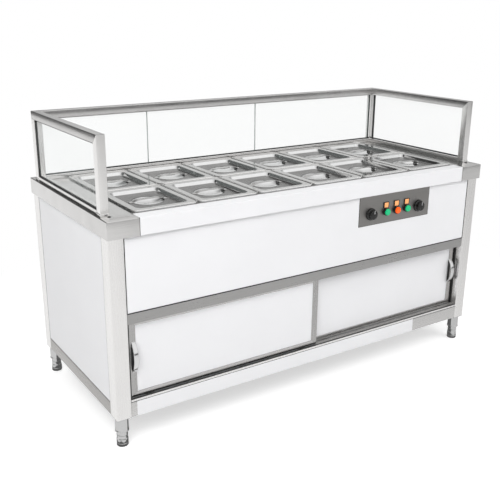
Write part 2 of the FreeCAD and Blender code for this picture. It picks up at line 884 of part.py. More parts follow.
def pan(label, x, y):
    """Pressed food pan: flange with a turned edge and a drafted bowl."""
    body = new_body("Pan")
    flange = new_sketch(body)
    rounded(flange, "pan_width", "pan_length", "pan_corner")
    extrude(body, "Pad", flange, "pan_lip", down=True)
    under = new_sketch(body, offset="-pan_lip")
    rounded(under, "pan_width - 2 * pan_sheet", "pan_length - 2 * pan_sheet", "pan_corner - pan_sheet")
    extrude(body, "Pocket", under, "pan_lip - pan_sheet")
    bowl = new_sketch(body)
    rounded(bowl, "bowl_width", "bowl_length", "bowl_corner")
    extrude(body, "Pad", bowl, "pan_depth", down=True, draft="-pan_draft")
    inside = new_sketch(body)
    rounded(inside, "bowl_width - 2 * pan_sheet", "bowl_length - 2 * pan_sheet", "bowl_corner - pan_sheet")
    extrude(body, "Pocket", inside, "pan_depth - pan_sheet", down=True, draft="-pan_draft")
    return node(label, place(body, x, y, "flange_top"))


def lid(label, x, y):
    """Pressed lid: flange with a raised rim, sunk tub, round dish and a strap across it."""
    body = new_body("Lid")
    flange = new_sketch(body)
    rounded(flange, "lid_width", "lid_length", "lid_corner")
    extrude(body, "Pad", flange, "lid_sheet")
    rim = new_sketch(body, offset="lid_sheet")
    rounded(rim, "lid_width", "lid_length", "lid_corner")
    within = "2 * lid_rim_width"
    rounded(rim, f"lid_width - {within}", f"lid_length - {within}", "lid_corner - lid_rim_width")
    extrude(body, "Pad", rim, "lid_rim_height")
    tub = new_sketch(body, offset="lid_sheet")
    rounded(tub, "tub_width", "tub_length", "lid_tub_corner")
    extrude(body, "Pad", tub, "lid_sink + lid_sheet", down=True, draft="-lid_tub_draft")
    turn(body, (
        ("0", "lid_floor - lid_sheet / 2"),
        ("dish_radius", "lid_floor - lid_sheet / 2"),
        ("dish_floor_radius", "dish_floor - lid_sheet"),
        ("0", "dish_floor - lid_sheet"),
    ))
    inside = new_sketch(body, offset="lid_sheet")
    rounded(inside, "tub_width - 2 * lid_sheet", "tub_length - 2 * lid_sheet", "lid_tub_corner - lid_sheet")
    extrude(body, "Pocket", inside, "lid_sink", down=True, draft="-lid_tub_draft")
    turn(body, (
        ("0", "lid_floor + lid_sheet"),
        ("dish_radius - lid_sheet / 2", "lid_floor + lid_sheet"),
        ("dish_floor_radius - lid_sheet", "dish_floor"),
        ("0", "dish_floor"),
    ), "Groove")
    strap = new_sketch(body, "XZ_Plane")
    foot, knee, bend = "strap_reach", "strap_reach - strap_foot", "strap_reach - strap_foot - strap_slope"
    under_side = ((foot, "lid_floor"), (knee, "lid_floor"), (bend, "strap_top - strap_thick"))
    upper_side = ((bend, "strap_top"), (knee, "lid_floor + strap_thick"), (foot, "lid_floor + strap_thick"))
    right = under_side + ((f"-({bend})", "strap_top - strap_thick"), (f"-({knee})", "lid_floor"),
                          (f"-({foot})", "lid_floor"))
    left = tuple((f"-({x})", z) for x, z in reversed(upper_side))
    outline(strap, right + left + upper_side)
    extrude(body, "Pad", strap, "strap_width", centred=True)
    return node(label, place(body, x, y, "flange_top + slide_gap"))


def pans_and_lids():
    """Two rows of six, numbered from the front left."""
    for row in (0, 1):
        for column in range(6):
            count = 6 * row + column + 1
            x = f"({column} - 2.5) * pan_pitch_x"
            y = f"pan_row_middle + ({row} - 0.5) * pan_pitch_y"
            pan(f"pan_{count}", x, y)
            lid(f"lid_{count}", x, y)


def button_places():
    return [f"button_middle_x + {step} * button_pitch" for step in (-1, 0, 1)]


def control_plate():
    """Steel plate with holes for two knob spindles and three buttons."""
    sheet = box(("plate_left", "plate_right"), ("plate_face", "plate_back"), ("plate_bottom", "plate_top"))
    through = ("plate_face - cut_past", "plate_back + cut_past")
    holes = [
        rod("y", (x, "control_height"), through, "spindle_radius + panel_gap")
        for x in ["knob_left_x", "knob_right_x"] + button_places()
    ]
    return node("control_plate", cut(sheet, holes))


def control_box():
    """Box behind the plate with five switch bodies, and the cable gland in the back panel."""
    x, z = ("box_left", "box_right"), ("box_bottom", "box_top")
    shell = box(x, ("plate_back", "box_back"), z)
    hollow = box(
        ("box_left + panel_sheet", "box_right - panel_sheet"),
        ("plate_back - cut_past", "box_back - panel_sheet"),
        ("box_bottom + panel_sheet", "box_top - panel_sheet"),
    )
    switches = []
    for place_x in ["knob_left_x", "knob_right_x"] + button_places():
        middle = (place_x, "control_height")
        case = rod("y", middle, ("plate_back", "plate_back + switch_length"), "switch_radius")
        seat = rod(
            "y", middle, ("plate_back - cut_past", "plate_back + switch_length - switch_wall"),
            "spindle_radius + panel_gap",
        )
        switches.append(cut(case, [seat], "Switch"))
    spot = ("gland_x", "gland_height")
    gland = cut(
        fuse([
            rod("y", spot, ("panel_out_y", "half_depth"), "gland_radius"),
            rod("y", spot, ("panel_in_y - gland_tail", "panel_out_y"), "gland_neck_radius - running_gap"),
        ]),
        [rod(
            "y", spot, ("panel_in_y - gland_tail - cut_past", "half_depth + cut_past"), "gland_bore_radius",
        )],
        "Gland",
    )
    return node("control_box", group([cut(shell, [hollow], "Case")] + switches + [gland]))


def knob(label, x):
    """Turned skirt and grip with a pointer bar, on a spindle through the plate."""
    face = "slide_gap"
    top = f"{face} + knob_height - pointer_rise"
    skirt = turned("Skirt", (
        ("0", face),
        ("knob_radius", face),
        ("knob_radius - knob_taper", f"{face} + knob_skirt"),
        ("knob_grip_radius", f"{face} + knob_skirt + knob_round"),
        ("knob_grip_radius - knob_taper", f"{top} - knob_round"),
        ("knob_grip_radius - knob_taper - knob_round", top),
        ("0", top),
    ))
    pointer = box(
        ("-pointer_width / 2", "pointer_width / 2"),
        ("0", "knob_radius - pointer_inset"),
        (face, f"{top} + pointer_rise"),
    )
    spindle = rod("z", ("0", "0"), ("-spindle_length", face), "spindle_radius")
    whole = fuse([skirt, pointer, spindle])
    return node(label, place(whole, x, "plate_face", "control_height", (1, 0, 0), 90))


def button(label, x):
    """Round cap on a stem that presses in towards the plate."""
    cap = turned("Cap", (
        ("0", "button_proud - button_cap"),
        ("button_radius", "button_proud - button_cap"),
        ("button_radius", "button_proud - button_round"),
        ("button_radius - button_round", "button_proud"),
        ("0", "button_proud"),
    ))
    stem = rod("z", ("0", "0"), ("-spindle_length / 2", "button_proud - button_cap"), "spindle_radius")
    return node(label, place(fuse([cap, stem]), x, "plate_face", "control_height", (1, 0, 0), 90))


def legend_plates():
    """Ring round each button joined to a framed window above it."""
    items = []
    for x in button_places():
        ring = rod("y", (x, "control_height"), ("plate_face - bezel_height", "plate_face"), "bezel_radius")
        frame = box(
            (f"{x} - legend_width / 2", f"{x} + legend_width / 2"),
            ("plate_face - legend_thick", "plate_face"),
            ("control_height", "legend_height + legend_width / 2"),
        )
        bore = rod(
            "y", (x, "control_height"), ("plate_face - bezel_height - cut_past", "plate_face + cut_past"),
            "button_radius + slide_gap",
        )
        recess = box(
            (f"{x} - legend_window_width / 2", f"{x} + legend_window_width / 2"),
            ("plate_face - legend_thick - cut_past", "plate_face - legend_thick + legend_recess"),
            ("control_height + bezel_radius + legend_window_gap", "legend_height + legend_window_height / 2"),
        )
        items.append(cut(fuse([ring, frame]), [bore, recess], "Legend"))
    return node("legend_plates", group(items))


def drain_valve():
    """Pipe from the tank floor to a ball valve in the cupboard, with a stub for its lever."""
    spot, across = ("drain_x", "drain_y"), ("drain_x", "valve_height")
    body = ("valve_height - valve_length / 2", "valve_height + valve_length / 2")
    outside = [
        rod("z", spot, ("drain_low", "tank_bottom"), "drain_pipe_radius"),
        rod("z", spot, body, "valve_radius"),
        rod("y", across, ("valve_face - valve_stem_length / 2", "drain_y"), "valve_bonnet_radius"),
        rod("y", across, ("valve_face - valve_stem_length", "drain_y"), "valve_stem_radius"),
    ]
    bores = [
        rod("z", spot, ("valve_height + valve_seat", "tank_bottom + cut_past"), "drain_bore_radius"),
        rod("z", spot, ("drain_low - cut_past", "valve_height - valve_seat"), "drain_bore_radius"),
    ]
    return node("drain_valve", cut(fuse(outside), bores))


def drain_lever():
    """Flat lever on the valve's stub, level when the valve is shut."""
    near = "valve_face - valve_stem_length / 2 - slide_gap"
    thick = (f"{near} - lever_thick", near)
    arm = box(
        ("drain_x - lever_tail", "drain_x + lever_length"),
        thick,
        ("valve_height - lever_width / 2", "valve_height + lever_width / 2"),
    )
    hub = rod("y", ("drain_x", "valve_height"), thick, "lever_hub_radius")
    hole = rod(
        "y", ("drain_x", "valve_height"), (f"{thick[0]} - cut_past", f"{thick[1]} + cut_past"),
        "valve_stem_radius + running_gap",
    )
    return node("drain_lever", cut(fuse([arm, hub]), [hole]))


def guard_frame():
    """Welded square tube frame on two sides and the back, with a low sill under the glass."""
    def tubes(inset, foot, sill):
        in_x, out_x = f"guard_in_x + {inset}", f"guard_out_x - {inset}"
        front = (f"-guard_front + {inset}", f"-guard_front + guard_tube - {inset}")
        back = (f"guard_back - guard_tube + {inset}", f"guard_back - {inset}")
        along = (front[0], back[1])
        upright = (f"worktop_height - {foot}", f"overall_height - {inset}")
        rail = (f"guard_rail + {inset}", f"overall_height - {inset}")
        low = (f"worktop_height + {sill}", f"sill_top - {sill}")
        parts = []
        for side in (-1, 1):
            x = span(side, in_x, out_x)
            parts += [box(x, front, upright), box(x, back, upright), box(x, along, rail), box(x, along, low)]
        across = (f"-({out_x})", out_x)
        parts += [box(across, back, rail), box(across, back, low)]
        return fuse(parts)

    return node("guard_frame", cut(tubes("0", "0", "0"), [tubes("tube_wall", "cut_past", "tube_wall")]))


def guard_openings(inset, thick_side, thick_back):
    """The three glazed openings less an inset, as spans in x, y and z."""
    heights = (f"sill_top + {inset}", f"guard_rail - {inset}")
    depth = (f"-guard_front + guard_tube + {inset}", f"guard_back - guard_tube - {inset}")
    sides = [(span(side, *thick_side), depth, heights) for side in (-1, 1)]
    back = ((f"-guard_in_x + {inset}", f"guard_in_x - {inset}"), thick_back, heights)
    return sides + [back]


def guard_seals():
    """Black seal round the inside of each glazed opening."""
    back = ("back_seal_mid - seal_thick / 2", "back_seal_mid + seal_thick / 2")
    outer = guard_openings("0", ("side_seal_in", "side_seal_out"), back)
    inner = guard_openings(
        "seal_width",
        ("side_seal_in - cut_past", "side_seal_out + cut_past"),
        ("back_seal_mid - seal_thick", "back_seal_mid + seal_thick"),
    )
    seals = [cut(box(*big), [box(*small)], "Seal") for big, small in zip(outer, inner)]
    return node("guard_seals", group(seals))


def guard_glass():
    """One pane at each side and three butted panes along the back."""
    side = ("side_glass_out - glass_thick", "side_glass_out")
    back = ("back_seal_mid - glass_thick / 2", "back_seal_mid + glass_thick / 2")
    left, right, rear = guard_openings("seal_width", side, back)
    half = "glass_joint_gap / 2"
    cuts = (
        (rear[0][0], f"glass_joint_left - {half}"),
        (f"glass_joint_left + {half}", f"glass_joint_right - {half}"),
        (f"glass_joint_right + {half}", rear[0][1]),
    )
    panes = [box(*left), box(*right)] + [box(x, rear[1], rear[2]) for x in cuts]
    return node("guard_glass", group(panes))


for make in (
    base_frame, foot_tubes, foot_adjusters, bottom_deck, body_panels, front_panels, mid_rail,
    partition_shelf, worktop, front_ledge, door_tracks, doors, water_tank, heating_elements,
    pan_support_grid, pans_and_lids, control_plate, control_box, legend_plates, drain_valve,
    drain_lever, guard_frame, guard_seals, guard_glass,
):
    make()
for label, x in (("knob_left", "knob_left_x"), ("knob_right", "knob_right_x")):
    knob(label, x)
for label, x in zip(("button_left", "button_middle", "button_right"), button_places()):
    button(label, x)

DOC.recompute()

faults = [item.Name for item in DOC.Objects if {"Invalid", "Error"} & set(item.State)]
faults += [item.Label for item in NODES if item.Shape.isNull() or not item.Shape.isValid()]
if faults:
    raise SystemExit("faulty objects: " + ", ".join(faults))

os.makedirs("parts", exist_ok=True)
for item in NODES:
    item.Shape.exportStep(f"parts/{item.Label}.step")
    bounds = item.Shape.BoundBox
    spans = "  ".join(
        f"{axis.lower()} {getattr(bounds, axis + 'Min'):8.1f} {getattr(bounds, axis + 'Max'):8.1f}"
        for axis in "XYZ"
    )
    solids, volume = len(item.Shape.Solids), item.Shape.Volume / 1000
    print(f"{item.Label:26s} solids {solids:3d}  volume {volume:10.2f} cm3  {spans}")
print(len(NODES), "sub-parts written")
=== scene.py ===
import math

import bmesh
import bpy
import numpy as np
from mathutils import Matrix, Vector


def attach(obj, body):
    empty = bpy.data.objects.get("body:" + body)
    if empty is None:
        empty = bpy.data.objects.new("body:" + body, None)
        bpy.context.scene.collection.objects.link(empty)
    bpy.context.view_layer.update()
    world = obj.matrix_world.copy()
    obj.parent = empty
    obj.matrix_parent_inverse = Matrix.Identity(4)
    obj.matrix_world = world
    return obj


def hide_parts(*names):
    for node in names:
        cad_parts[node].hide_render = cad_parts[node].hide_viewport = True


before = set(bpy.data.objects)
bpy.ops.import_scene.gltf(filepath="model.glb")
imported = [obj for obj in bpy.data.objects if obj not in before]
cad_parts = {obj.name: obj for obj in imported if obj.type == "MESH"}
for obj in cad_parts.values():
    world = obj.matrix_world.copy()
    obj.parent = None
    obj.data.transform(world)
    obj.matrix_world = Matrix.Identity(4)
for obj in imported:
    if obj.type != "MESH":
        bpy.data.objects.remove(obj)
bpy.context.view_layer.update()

# %% [markdown]
# # A heated serving cabinet in sheet steel and square tube
#
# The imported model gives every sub-part's place. This lesson dresses it: each step says what
# the piece is on the real object, how it could be made, and why it is made this way here.
# Everything is in metres, with +X to the right, +Y to the back and +Z up.
#
# ## Surfaces
#
# Nearly everything here is folded or pressed sheet, square tube or turned metal. Four kinds
# of surface cover it: a block with soft edges, a bar swept along a line, a turned shape, and
# a loft through rounded rectangles. Each is a grid of points worked out by a formula.

# %% Surface tools
MM = 0.001


def grid_faces(rows, columns, close_columns=True):
    """Quads of a grid of points numbered row by row: each joins (i, j), (i, j+1), (i+1, j+1), (i+1, j)."""
    i, j = np.meshgrid(np.arange(rows - 1), np.arange(columns if close_columns else columns - 1), indexing="ij")
    k = (j + 1) % columns
    return np.stack([i * columns + j, i * columns + k, (i + 1) * columns + k, (i + 1) * columns + j], -1).reshape(-1, 4)


def rounded_block(low, high, radius, steps=3):
    """Block with round edges. A cube's grid is laid over the block, each point is held inside the
    block shrunk by the radius, and is then pushed out by the radius along its line from there."""
    low, high = np.minimum(low, high), np.maximum(low, high)
    size = high - low
    radius = min(radius, 0.499 * size.min())
    turn = np.tan(np.linspace(-math.pi / 4, math.pi / 4, 2 * steps + 1))
    points, faces = [], []
    for axis in range(3):
        for side in (-1, 1):
            u, v = (axis + 1) % 3, (axis + 2) % 3
            halves = []
            for other in (u, v):
                flat = size[other] / 2 - radius
                halves.append(np.concatenate([-flat + radius * np.minimum(turn, 0)[:steps + 1],
                                              flat + radius * np.maximum(turn, 0)[steps:]]))
            a, b = np.meshgrid(*halves, indexing="ij")
            cube = np.empty(a.shape + (3,))
            cube[..., u], cube[..., v], cube[..., axis] = a, b, side * size[axis] / 2
            core = np.clip(cube, -(size / 2 - radius), size / 2 - radius)
            away = cube - core
            cube = core + radius * away / np.linalg.norm(away, axis=-1, keepdims=True)
            quads = grid_faces(*a.shape, close_columns=False)
            faces.append((quads if side < 0 else quads[:, ::-1]) + sum(len(p) for p in points))
            points.append(cube.reshape(-1, 3) + (low + high) / 2)
    return np.concatenate(points), np.concatenate(faces)


def block(low, high, radius, steps=3):
    """Rounded block with its corners and radius given in millimetres."""
    return rounded_block(np.array(low) * MM, np.array(high) * MM, radius * MM, steps)


def rounded_ring(half_u, half_v, radius, quarter=6):
    """Outline of a rectangle with round corners: each corner's centre plus the radius along a turning arm."""
    radius = min(radius, half_u, half_v)
    arm = np.linspace(0, math.pi / 2, quarter)
    angle = np.concatenate([arm + turn * math.pi / 2 for turn in range(4)])
    sign_u = np.repeat([1, -1, -1, 1], quarter)
    sign_v = np.repeat([1, 1, -1, -1], quarter)
    return np.stack([sign_u * (half_u - radius) + radius * np.cos(angle),
                     sign_v * (half_v - radius) + radius * np.sin(angle)], -1)


def capped(points, faces, rows, columns):
    """Close both ends of a grid of rings with one many-sided face each."""
    first = list(range(columns))[::-1]
    last = list(range((rows - 1) * columns, rows * columns))
    return points, [list(face) for face in faces] + [first, last]


def bar(start, end, across, up, radius, cut_start=(0, 0), cut_end=(0, 0), quarter=5):
    """Square or flat bar from start to end. Its section is a rounded rectangle, across wide and up high,
    and each end is slid along the bar by the cut's slope times the place in the section, as a mitre."""
    start, end = np.array(start, float), np.array(end, float)
    along = (end - start) / np.linalg.norm(end - start)
    across, up = np.array(across, float), np.array(up, float)
    half_a, half_u = np.linalg.norm(across) / 2, np.linalg.norm(up) / 2
    ring = rounded_ring(half_a, half_u, radius, quarter)
    section = ring[:, :1] * across / (2 * half_a) + ring[:, 1:] * up / (2 * half_u)
    rows = []
    for at, cut in ((start, cut_start), (end, cut_end)):
        slide = ring @ np.array(cut, float)
        rows.append(at + section + slide[:, None] * along)
    points, faces = capped(np.concatenate(rows), grid_faces(2, len(ring)), 2, len(ring))
    if np.dot(np.cross(across, up), along) < 0:
        faces = [face[::-1] for face in faces]
    return points, faces


def softened(profile, radius, steps=4):
    """Profile with each inner corner replaced by a curve that starts and ends the radius away from it. The
    radius is one for all corners, or one for each."""
    profile = [np.array(p, float) for p in profile]
    radii = np.broadcast_to(radius, len(profile) - 2)
    out = [profile[0]]
    for before, corner, after, limit in zip(profile, profile[1:], profile[2:], radii):
        into, outof = corner - before, after - corner
        reach = min(limit, 0.48 * np.linalg.norm(into), 0.48 * np.linalg.norm(outof))
        a = corner - reach * into / np.linalg.norm(into)
        b = corner + reach * outof / np.linalg.norm(outof)
        t = np.linspace(0, 1, steps + 1)[:, None]
        out.extend((1 - t) ** 2 * a + 2 * t * (1 - t) * corner + t ** 2 * b)
    out.append(profile[-1])
    return np.array(out)


def lathe(profile, segments=48):
    """Turned shape: every profile point (radius, height) goes round the Z axis."""
    angle = np.linspace(0, 2 * math.pi, segments, endpoint=False)
    radius, height = profile[:, 0], profile[:, 1]
    rows = np.stack([radius[:, None] * np.cos(angle), radius[:, None] * np.sin(angle),
                     np.broadcast_to(height[:, None], (len(profile), segments))], -1)
    return rows.reshape(-1, 3), grid_faces(len(profile), segments)


def loft(rings, heights):
    """Surface through flat outlines of equal count, one at each height."""
    count = len(rings[0])
    points = np.concatenate([np.column_stack([ring, np.full(count, z)]) for ring, z in zip(rings, heights)])
    return points, grid_faces(len(rings), count)


def moved(surface, offset=(0, 0, 0), turn=None):
    """Surface turned by a matrix and then moved."""
    points, faces = surface
    if turn is not None:
        points = points @ np.array(turn).T
    return points + np.array(offset, float), faces


TO_FRONT = ((1, 0, 0), (0, 0, -1), (0, 1, 0))    # turns +Z to -Y


def joined(surfaces):
    """Several surfaces in one, with the index of the surface that each face came from."""
    points, faces, marks, count = [], [], [], 0
    for mark, (more, quads) in enumerate(surfaces):
        points.append(more)
        faces.extend([[int(v) + count for v in face] for face in quads])
        marks.extend([mark] * len(quads))
        count += len(more)
    return np.concatenate(points), faces, marks


def placed(name, data):
    """New object in the scene, from its data."""
    item = bpy.data.objects.new(name, data)
    bpy.context.scene.collection.objects.link(item)
    return item


def piece(name, surfaces, materials, body="cabinet", replaces=None, sharp=38):
    """One object of one or more surfaces, smooth but for edges sharper than an angle.
    materials is one material, or one for each surface."""
    points, faces, marks = joined(surfaces)
    mesh = bpy.data.meshes.new(name)
    mesh.from_pydata(points.tolist(), [], faces)
    listed = materials if isinstance(materials, (list, tuple)) else [materials] * len(surfaces)
    unique = list(dict.fromkeys(listed))
    for material in unique:
        mesh.materials.append(material)
    index = np.array([unique.index(listed[mark]) for mark in marks], dtype=np.int32)
    mesh.polygons.foreach_set("material_index", index)
    welder = bmesh.new()
    welder.from_mesh(mesh)
    bmesh.ops.remove_doubles(welder, verts=welder.verts, dist=1e-6)
    welder.to_mesh(mesh)
    welder.free()
    mesh.polygons.foreach_set("use_smooth", np.ones(len(mesh.polygons), dtype=bool))
    mesh.set_sharp_from_angle(angle=math.radians(sharp))
    mesh.validate()
    item = placed(name, mesh)
    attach(item, body)
    if replaces:
        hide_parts(replaces)


# %% [markdown]
# ## Materials
#
# The cabinet is brushed stainless steel, painted white sheet, chromed fittings, glossy black
# mouldings and glass. Brushing is a noise stretched along the direction of the belt that made
# it: it moves the tone, the roughness and the bump together, as real scratches do. Every
# pattern is laid in the object's own coordinates, so it is at its real scale. Each steel piece
# has one even tone.

# %% Material tools


class Tree:
    """Small wrapper that adds nodes to one tree and links them."""

    def __init__(self, tree):
        self.tree = tree

    def put(self, socket, value):
        """Link a socket to a value that is a socket too, or set it."""
        if isinstance(value, bpy.types.NodeSocket):
            self.tree.links.new(value, socket)
        else:
            socket.default_value = value

    def add(self, kind, **inputs):
        """Node of one kind with its inputs by name."""
        node = self.tree.nodes.new(kind)
        for key, value in inputs.items():
            self.put(node.inputs[key.replace("_", " ")], value)
        return node

    def math(self, how, *values):
        """One step of arithmetic on values or sockets."""
        node = self.tree.nodes.new("ShaderNodeMath")
        node.operation = how
        for socket, value in zip(node.inputs, values):
            self.put(socket, value)
        return node.outputs[0]

    def tones(self, value, *stops):
        """Colours along a value: each stop is (place, colour)."""
        ramp = self.add("ShaderNodeValToRGB", Fac=value)
        elements = ramp.color_ramp.elements
        while len(elements) < len(stops):
            elements.new(0.5)
        for element, (at, colour) in zip(elements, stops):
            element.position = at
            element.color = (*colour, 1)
        return ramp.outputs["Color"]


class Nodes(Tree):
    """Tree of one new material, with its shader and the object's own coordinates."""

    def __init__(self, name):
        self.material = bpy.data.materials.new(name)
        self.material.use_nodes = True
        super().__init__(self.material.node_tree)
        self.shader = self.tree.nodes["Principled BSDF"]
        self.place = self.add("ShaderNodeTexCoord").outputs["Object"]

    def set(self, **inputs):
        """Inputs of the shader by name."""
        for key, value in inputs.items():
            self.put(self.shader.inputs[key.replace("_", " ")], value)

    def noise(self, scale, stretch=(1, 1, 1), detail=3.0, rough=0.55):
        """Noise in the object's coordinates, with its own scale along each axis."""
        mapping = self.add("ShaderNodeMapping", Vector=self.place, Scale=stretch)
        texture = self.add("ShaderNodeTexNoise", Vector=mapping.outputs["Vector"], Scale=scale, Detail=detail,
                           Roughness=rough)
        return texture.outputs["Fac"]

    def between(self, value, low, high):
        """Middle of a noise, from 0.3 to 0.7, stretched to run from low to high."""
        node = self.add("ShaderNodeMapRange", Value=value, From_Min=0.3, From_Max=0.7, To_Min=low, To_Max=high)
        return node.outputs["Result"]

    def product(self, a, b):
        """Two colours multiplied."""
        node = self.tree.nodes.new("ShaderNodeMix")
        node.data_type, node.blend_type = "RGBA", "MULTIPLY"
        colours = [socket for socket in node.inputs if socket.type == "RGBA"]
        for socket, value in zip([node.inputs[0]] + colours, (1.0, a, b)):
            self.put(socket, value)
        return [socket for socket in node.outputs if socket.type == "RGBA"][0]

    def bump(self, height, strength, distance):
        """Small relief from a height."""
        node = self.add("ShaderNodeBump", Height=height, Strength=strength, Distance=distance)
        self.put(self.shader.inputs["Normal"], node.outputs["Normal"])


def grey(value, warm=0.0):
    """Grey with a little warmth: red up and blue down by the same share."""
    return (value * (1 + warm), value, value * (1 - warm))


def brushed(name, axis, tone=0.62, roughness=0.3, depth=0.08, warm=0.012, streak=0.09):
    """Stainless sheet brushed along one axis: fine scratches, faint wide bands and a few smudges."""
    n = Nodes(name)
    stretch = [1.0, 1.0, 1.0]
    stretch["xyz".index(axis)] = 0.012
    scratches = n.noise(900, stretch, detail=4, rough=0.7)
    bands = n.noise(14, [s if s == 1 else 0.08 for s in stretch], detail=2)
    smudges = n.noise(7, detail=4)
    scratched, worn = tone * (1 - streak), min(tone * (1 + 0.6 * streak), 1)
    base = n.tones(scratches, (0.3, grey(scratched, warm)), (0.7, grey(worn, warm)))
    base = n.product(base, n.tones(bands, (0.3, grey(0.93)), (0.7, grey(1.0))))
    n.set(Base_Color=base, Metallic=1.0)
    n.set(Roughness=n.math("ADD", n.between(scratches, roughness - 0.04, roughness + 0.04),
                           n.between(smudges, -0.03, 0.04)))
    n.bump(scratches, depth, 0.00005)
    return n.material


def painted(name, colour, roughness=0.32, coat=0.15):
    """Sprayed sheet: faint orange peel, slight unevenness of tone, thin clear gloss."""
    n = Nodes(name)
    peel = n.noise(420, detail=2)
    drift = n.noise(3.5, detail=3)
    base = n.tones(drift, (0.3, tuple(c * 0.975 for c in colour)), (0.7, colour))
    n.set(Base_Color=base, Roughness=n.between(peel, roughness - 0.03, roughness + 0.05), Metallic=0.0,
          Coat_Weight=coat, Coat_Roughness=0.12)
    n.bump(peel, 0.05, 0.0001)
    return n.material


def polished(name, tone=0.72, roughness=0.09, warm=0.0):
    """Polished or chromed metal with faint wiping marks."""
    n = Nodes(name)
    wipes = n.noise(60, (1, 1, 0.2), detail=4)
    fine = n.noise(1400, detail=1)
    base = n.tones(wipes, (0.3, grey(tone * 0.95, warm)), (0.7, grey(tone, warm)))
    n.set(Base_Color=base, Metallic=1.0, Roughness=n.between(wipes, roughness * 0.7, roughness * 1.5))
    n.bump(fine, 0.04, 0.00003)
    return n.material


def moulded(name, colour, roughness=0.3, coat=0.0, glow=0.0):
    """Moulded plastic or rubber: fine texture and slight change of gloss."""
    n = Nodes(name)
    texture = n.noise(900, detail=2)
    patches = n.noise(40, detail=3)
    base = n.tones(patches, (0.3, tuple(c * 0.9 for c in colour)), (0.7, colour))
    n.set(Base_Color=base, Roughness=n.between(patches, roughness * 0.85, roughness * 1.2), Metallic=0.0,
          Coat_Weight=coat, Coat_Roughness=0.06)
    if glow:
        n.set(Emission_Color=(*colour, 1), Emission_Strength=glow)
    n.bump(texture, 0.06, 0.0001)
    return n.material


def clear_glass(name, tint, alpha, roughness=0.02):
    """Pane seen through: a thin tint with the gloss of glass, and faint dust that scatters light."""
    n = Nodes(name)
    dust = n.noise(25, detail=5)
    n.set(Base_Color=(*tint, 1), Roughness=n.between(dust, roughness, roughness + 0.05), Metallic=0.0,
          Alpha=alpha, IOR=1.5)
    return n.material


# All these steel pieces are one stainless steel; their tones differ to paint light and shade. The bright posts, guard
# posts and sills are painted highlight and painted reflection, and the dark mid rail, side rails and door stiles are
# painted shade and painted reflection.
STEEL_X = brushed("steel_brushed_x", "x")
STEEL_Y = brushed("steel_brushed_y", "y")
TOP = brushed("steel_worktop", "x", tone=0.72, roughness=0.16, depth=0.05)
RAIL = brushed("steel_mid_rail", "x", tone=0.45, roughness=0.3)
POST = brushed("steel_post", "z", tone=0.93, roughness=0.26, depth=0.05, streak=0.04)
BASE_RAIL = brushed("steel_base_rail", "x", tone=0.68, roughness=0.26, depth=0.05, streak=0.05)
SIDE_RAIL = brushed("steel_side_rail", "y", tone=0.42, roughness=0.26, depth=0.05, streak=0.05, warm=0.03)
STILE = brushed("steel_door_stile", "z", tone=0.5, roughness=0.26)
DOOR_RAIL = brushed("steel_door_rail", "x", tone=0.6, roughness=0.26)
PLATE = brushed("steel_control_plate", "x", tone=0.34, roughness=0.42, warm=0.03)
GUARD_RAIL = brushed("steel_guard_rail", "y", tone=0.66, roughness=0.22, depth=0.05)
GUARD_POST = brushed("steel_guard_post", "z", tone=0.92, roughness=0.2, depth=0.06)
BACK_RAIL = brushed("steel_back_rail", "x", tone=0.7, roughness=0.2, depth=0.06)
SILL = brushed("steel_sill", "x", tone=0.85, roughness=0.2, depth=0.06)
# The lid's bands are one steel: the bright rim is painted highlight, the walls, dish and dark panel are painted
# reflection, and the dark grooves are painted shade in the creases.
LID_FLANGE = brushed("steel_lid_flange", "x", tone=0.66, roughness=0.12, depth=0.03, streak=0.06)
LID_GROOVE_SHADE = brushed("steel_lid_groove_shade", "x", tone=0.12, roughness=0.25)
LID_RIM = brushed("steel_lid_rim", "x", tone=0.95, roughness=0.1, depth=0.02, streak=0.03)
LID_PANEL = brushed("steel_lid_panel", "x", tone=0.22, roughness=0.24, depth=0.04, warm=0.025)
LID_WALL = polished("steel_lid_wall", 0.85, 0.08)
LID_DISH = polished("steel_lid_dish", 0.85, 0.08)
LID_STRAP = brushed("steel_lid_strap", "x", tone=0.6, roughness=0.14, depth=0.04)
PAN = polished("steel_pan", 0.6, 0.2)
CHROME = polished("chrome_plate", 0.82, 0.06)
HANDLE = polished("chrome_handle", 0.75, 0.08)
# The feet are chrome toned darker than the other chrome, as painted shade.
FOOT = polished("chrome_foot", 0.62, 0.12)
WHITE = painted("white_paint", (0.9, 0.9, 0.915))
BLACK = moulded("black_moulding", (0.004, 0.004, 0.004), 0.16, coat=0.2)
# Black seal for the guard's gaskets, and also for dark strips that are painted shade in gaps and a painted reflection
# behind the handles.
SEAL_AND_SHADE = moulded("black_seal_and_painted_shade", (0.02, 0.02, 0.02), 0.6)
# Grey moulding for the control box, and also for the strip under each door, which is painted shade.
GREY_AND_SHADE = moulded("grey_moulding_and_painted_shade", (0.28, 0.29, 0.3), 0.5)
NYLON = moulded("nylon_glide", (0.7, 0.7, 0.66), 0.5)
GREEN = moulded("green_cap", (0.0, 0.5, 0.2), 0.3, coat=0.2, glow=0.22)
ORANGE = moulded("orange_cap", (1.0, 0.11, 0.0), 0.3, coat=0.15, glow=0.35)
AMBER = moulded("amber_window", (1.0, 0.42, 0.15), 0.3, coat=0.3, glow=0.3)
BRASS = polished("brass_valve", 0.55, 0.25, warm=0.25)
RED = moulded("red_grip", (0.45, 0.02, 0.015), 0.35)
GLASS = clear_glass("clear_pane", (0.9, 0.97, 0.95), 0.07)
GLASS_EDGE = moulded("pane_edge", (0.5, 0.55, 0.53), 0.15)
print(len(bpy.data.materials), "materials")

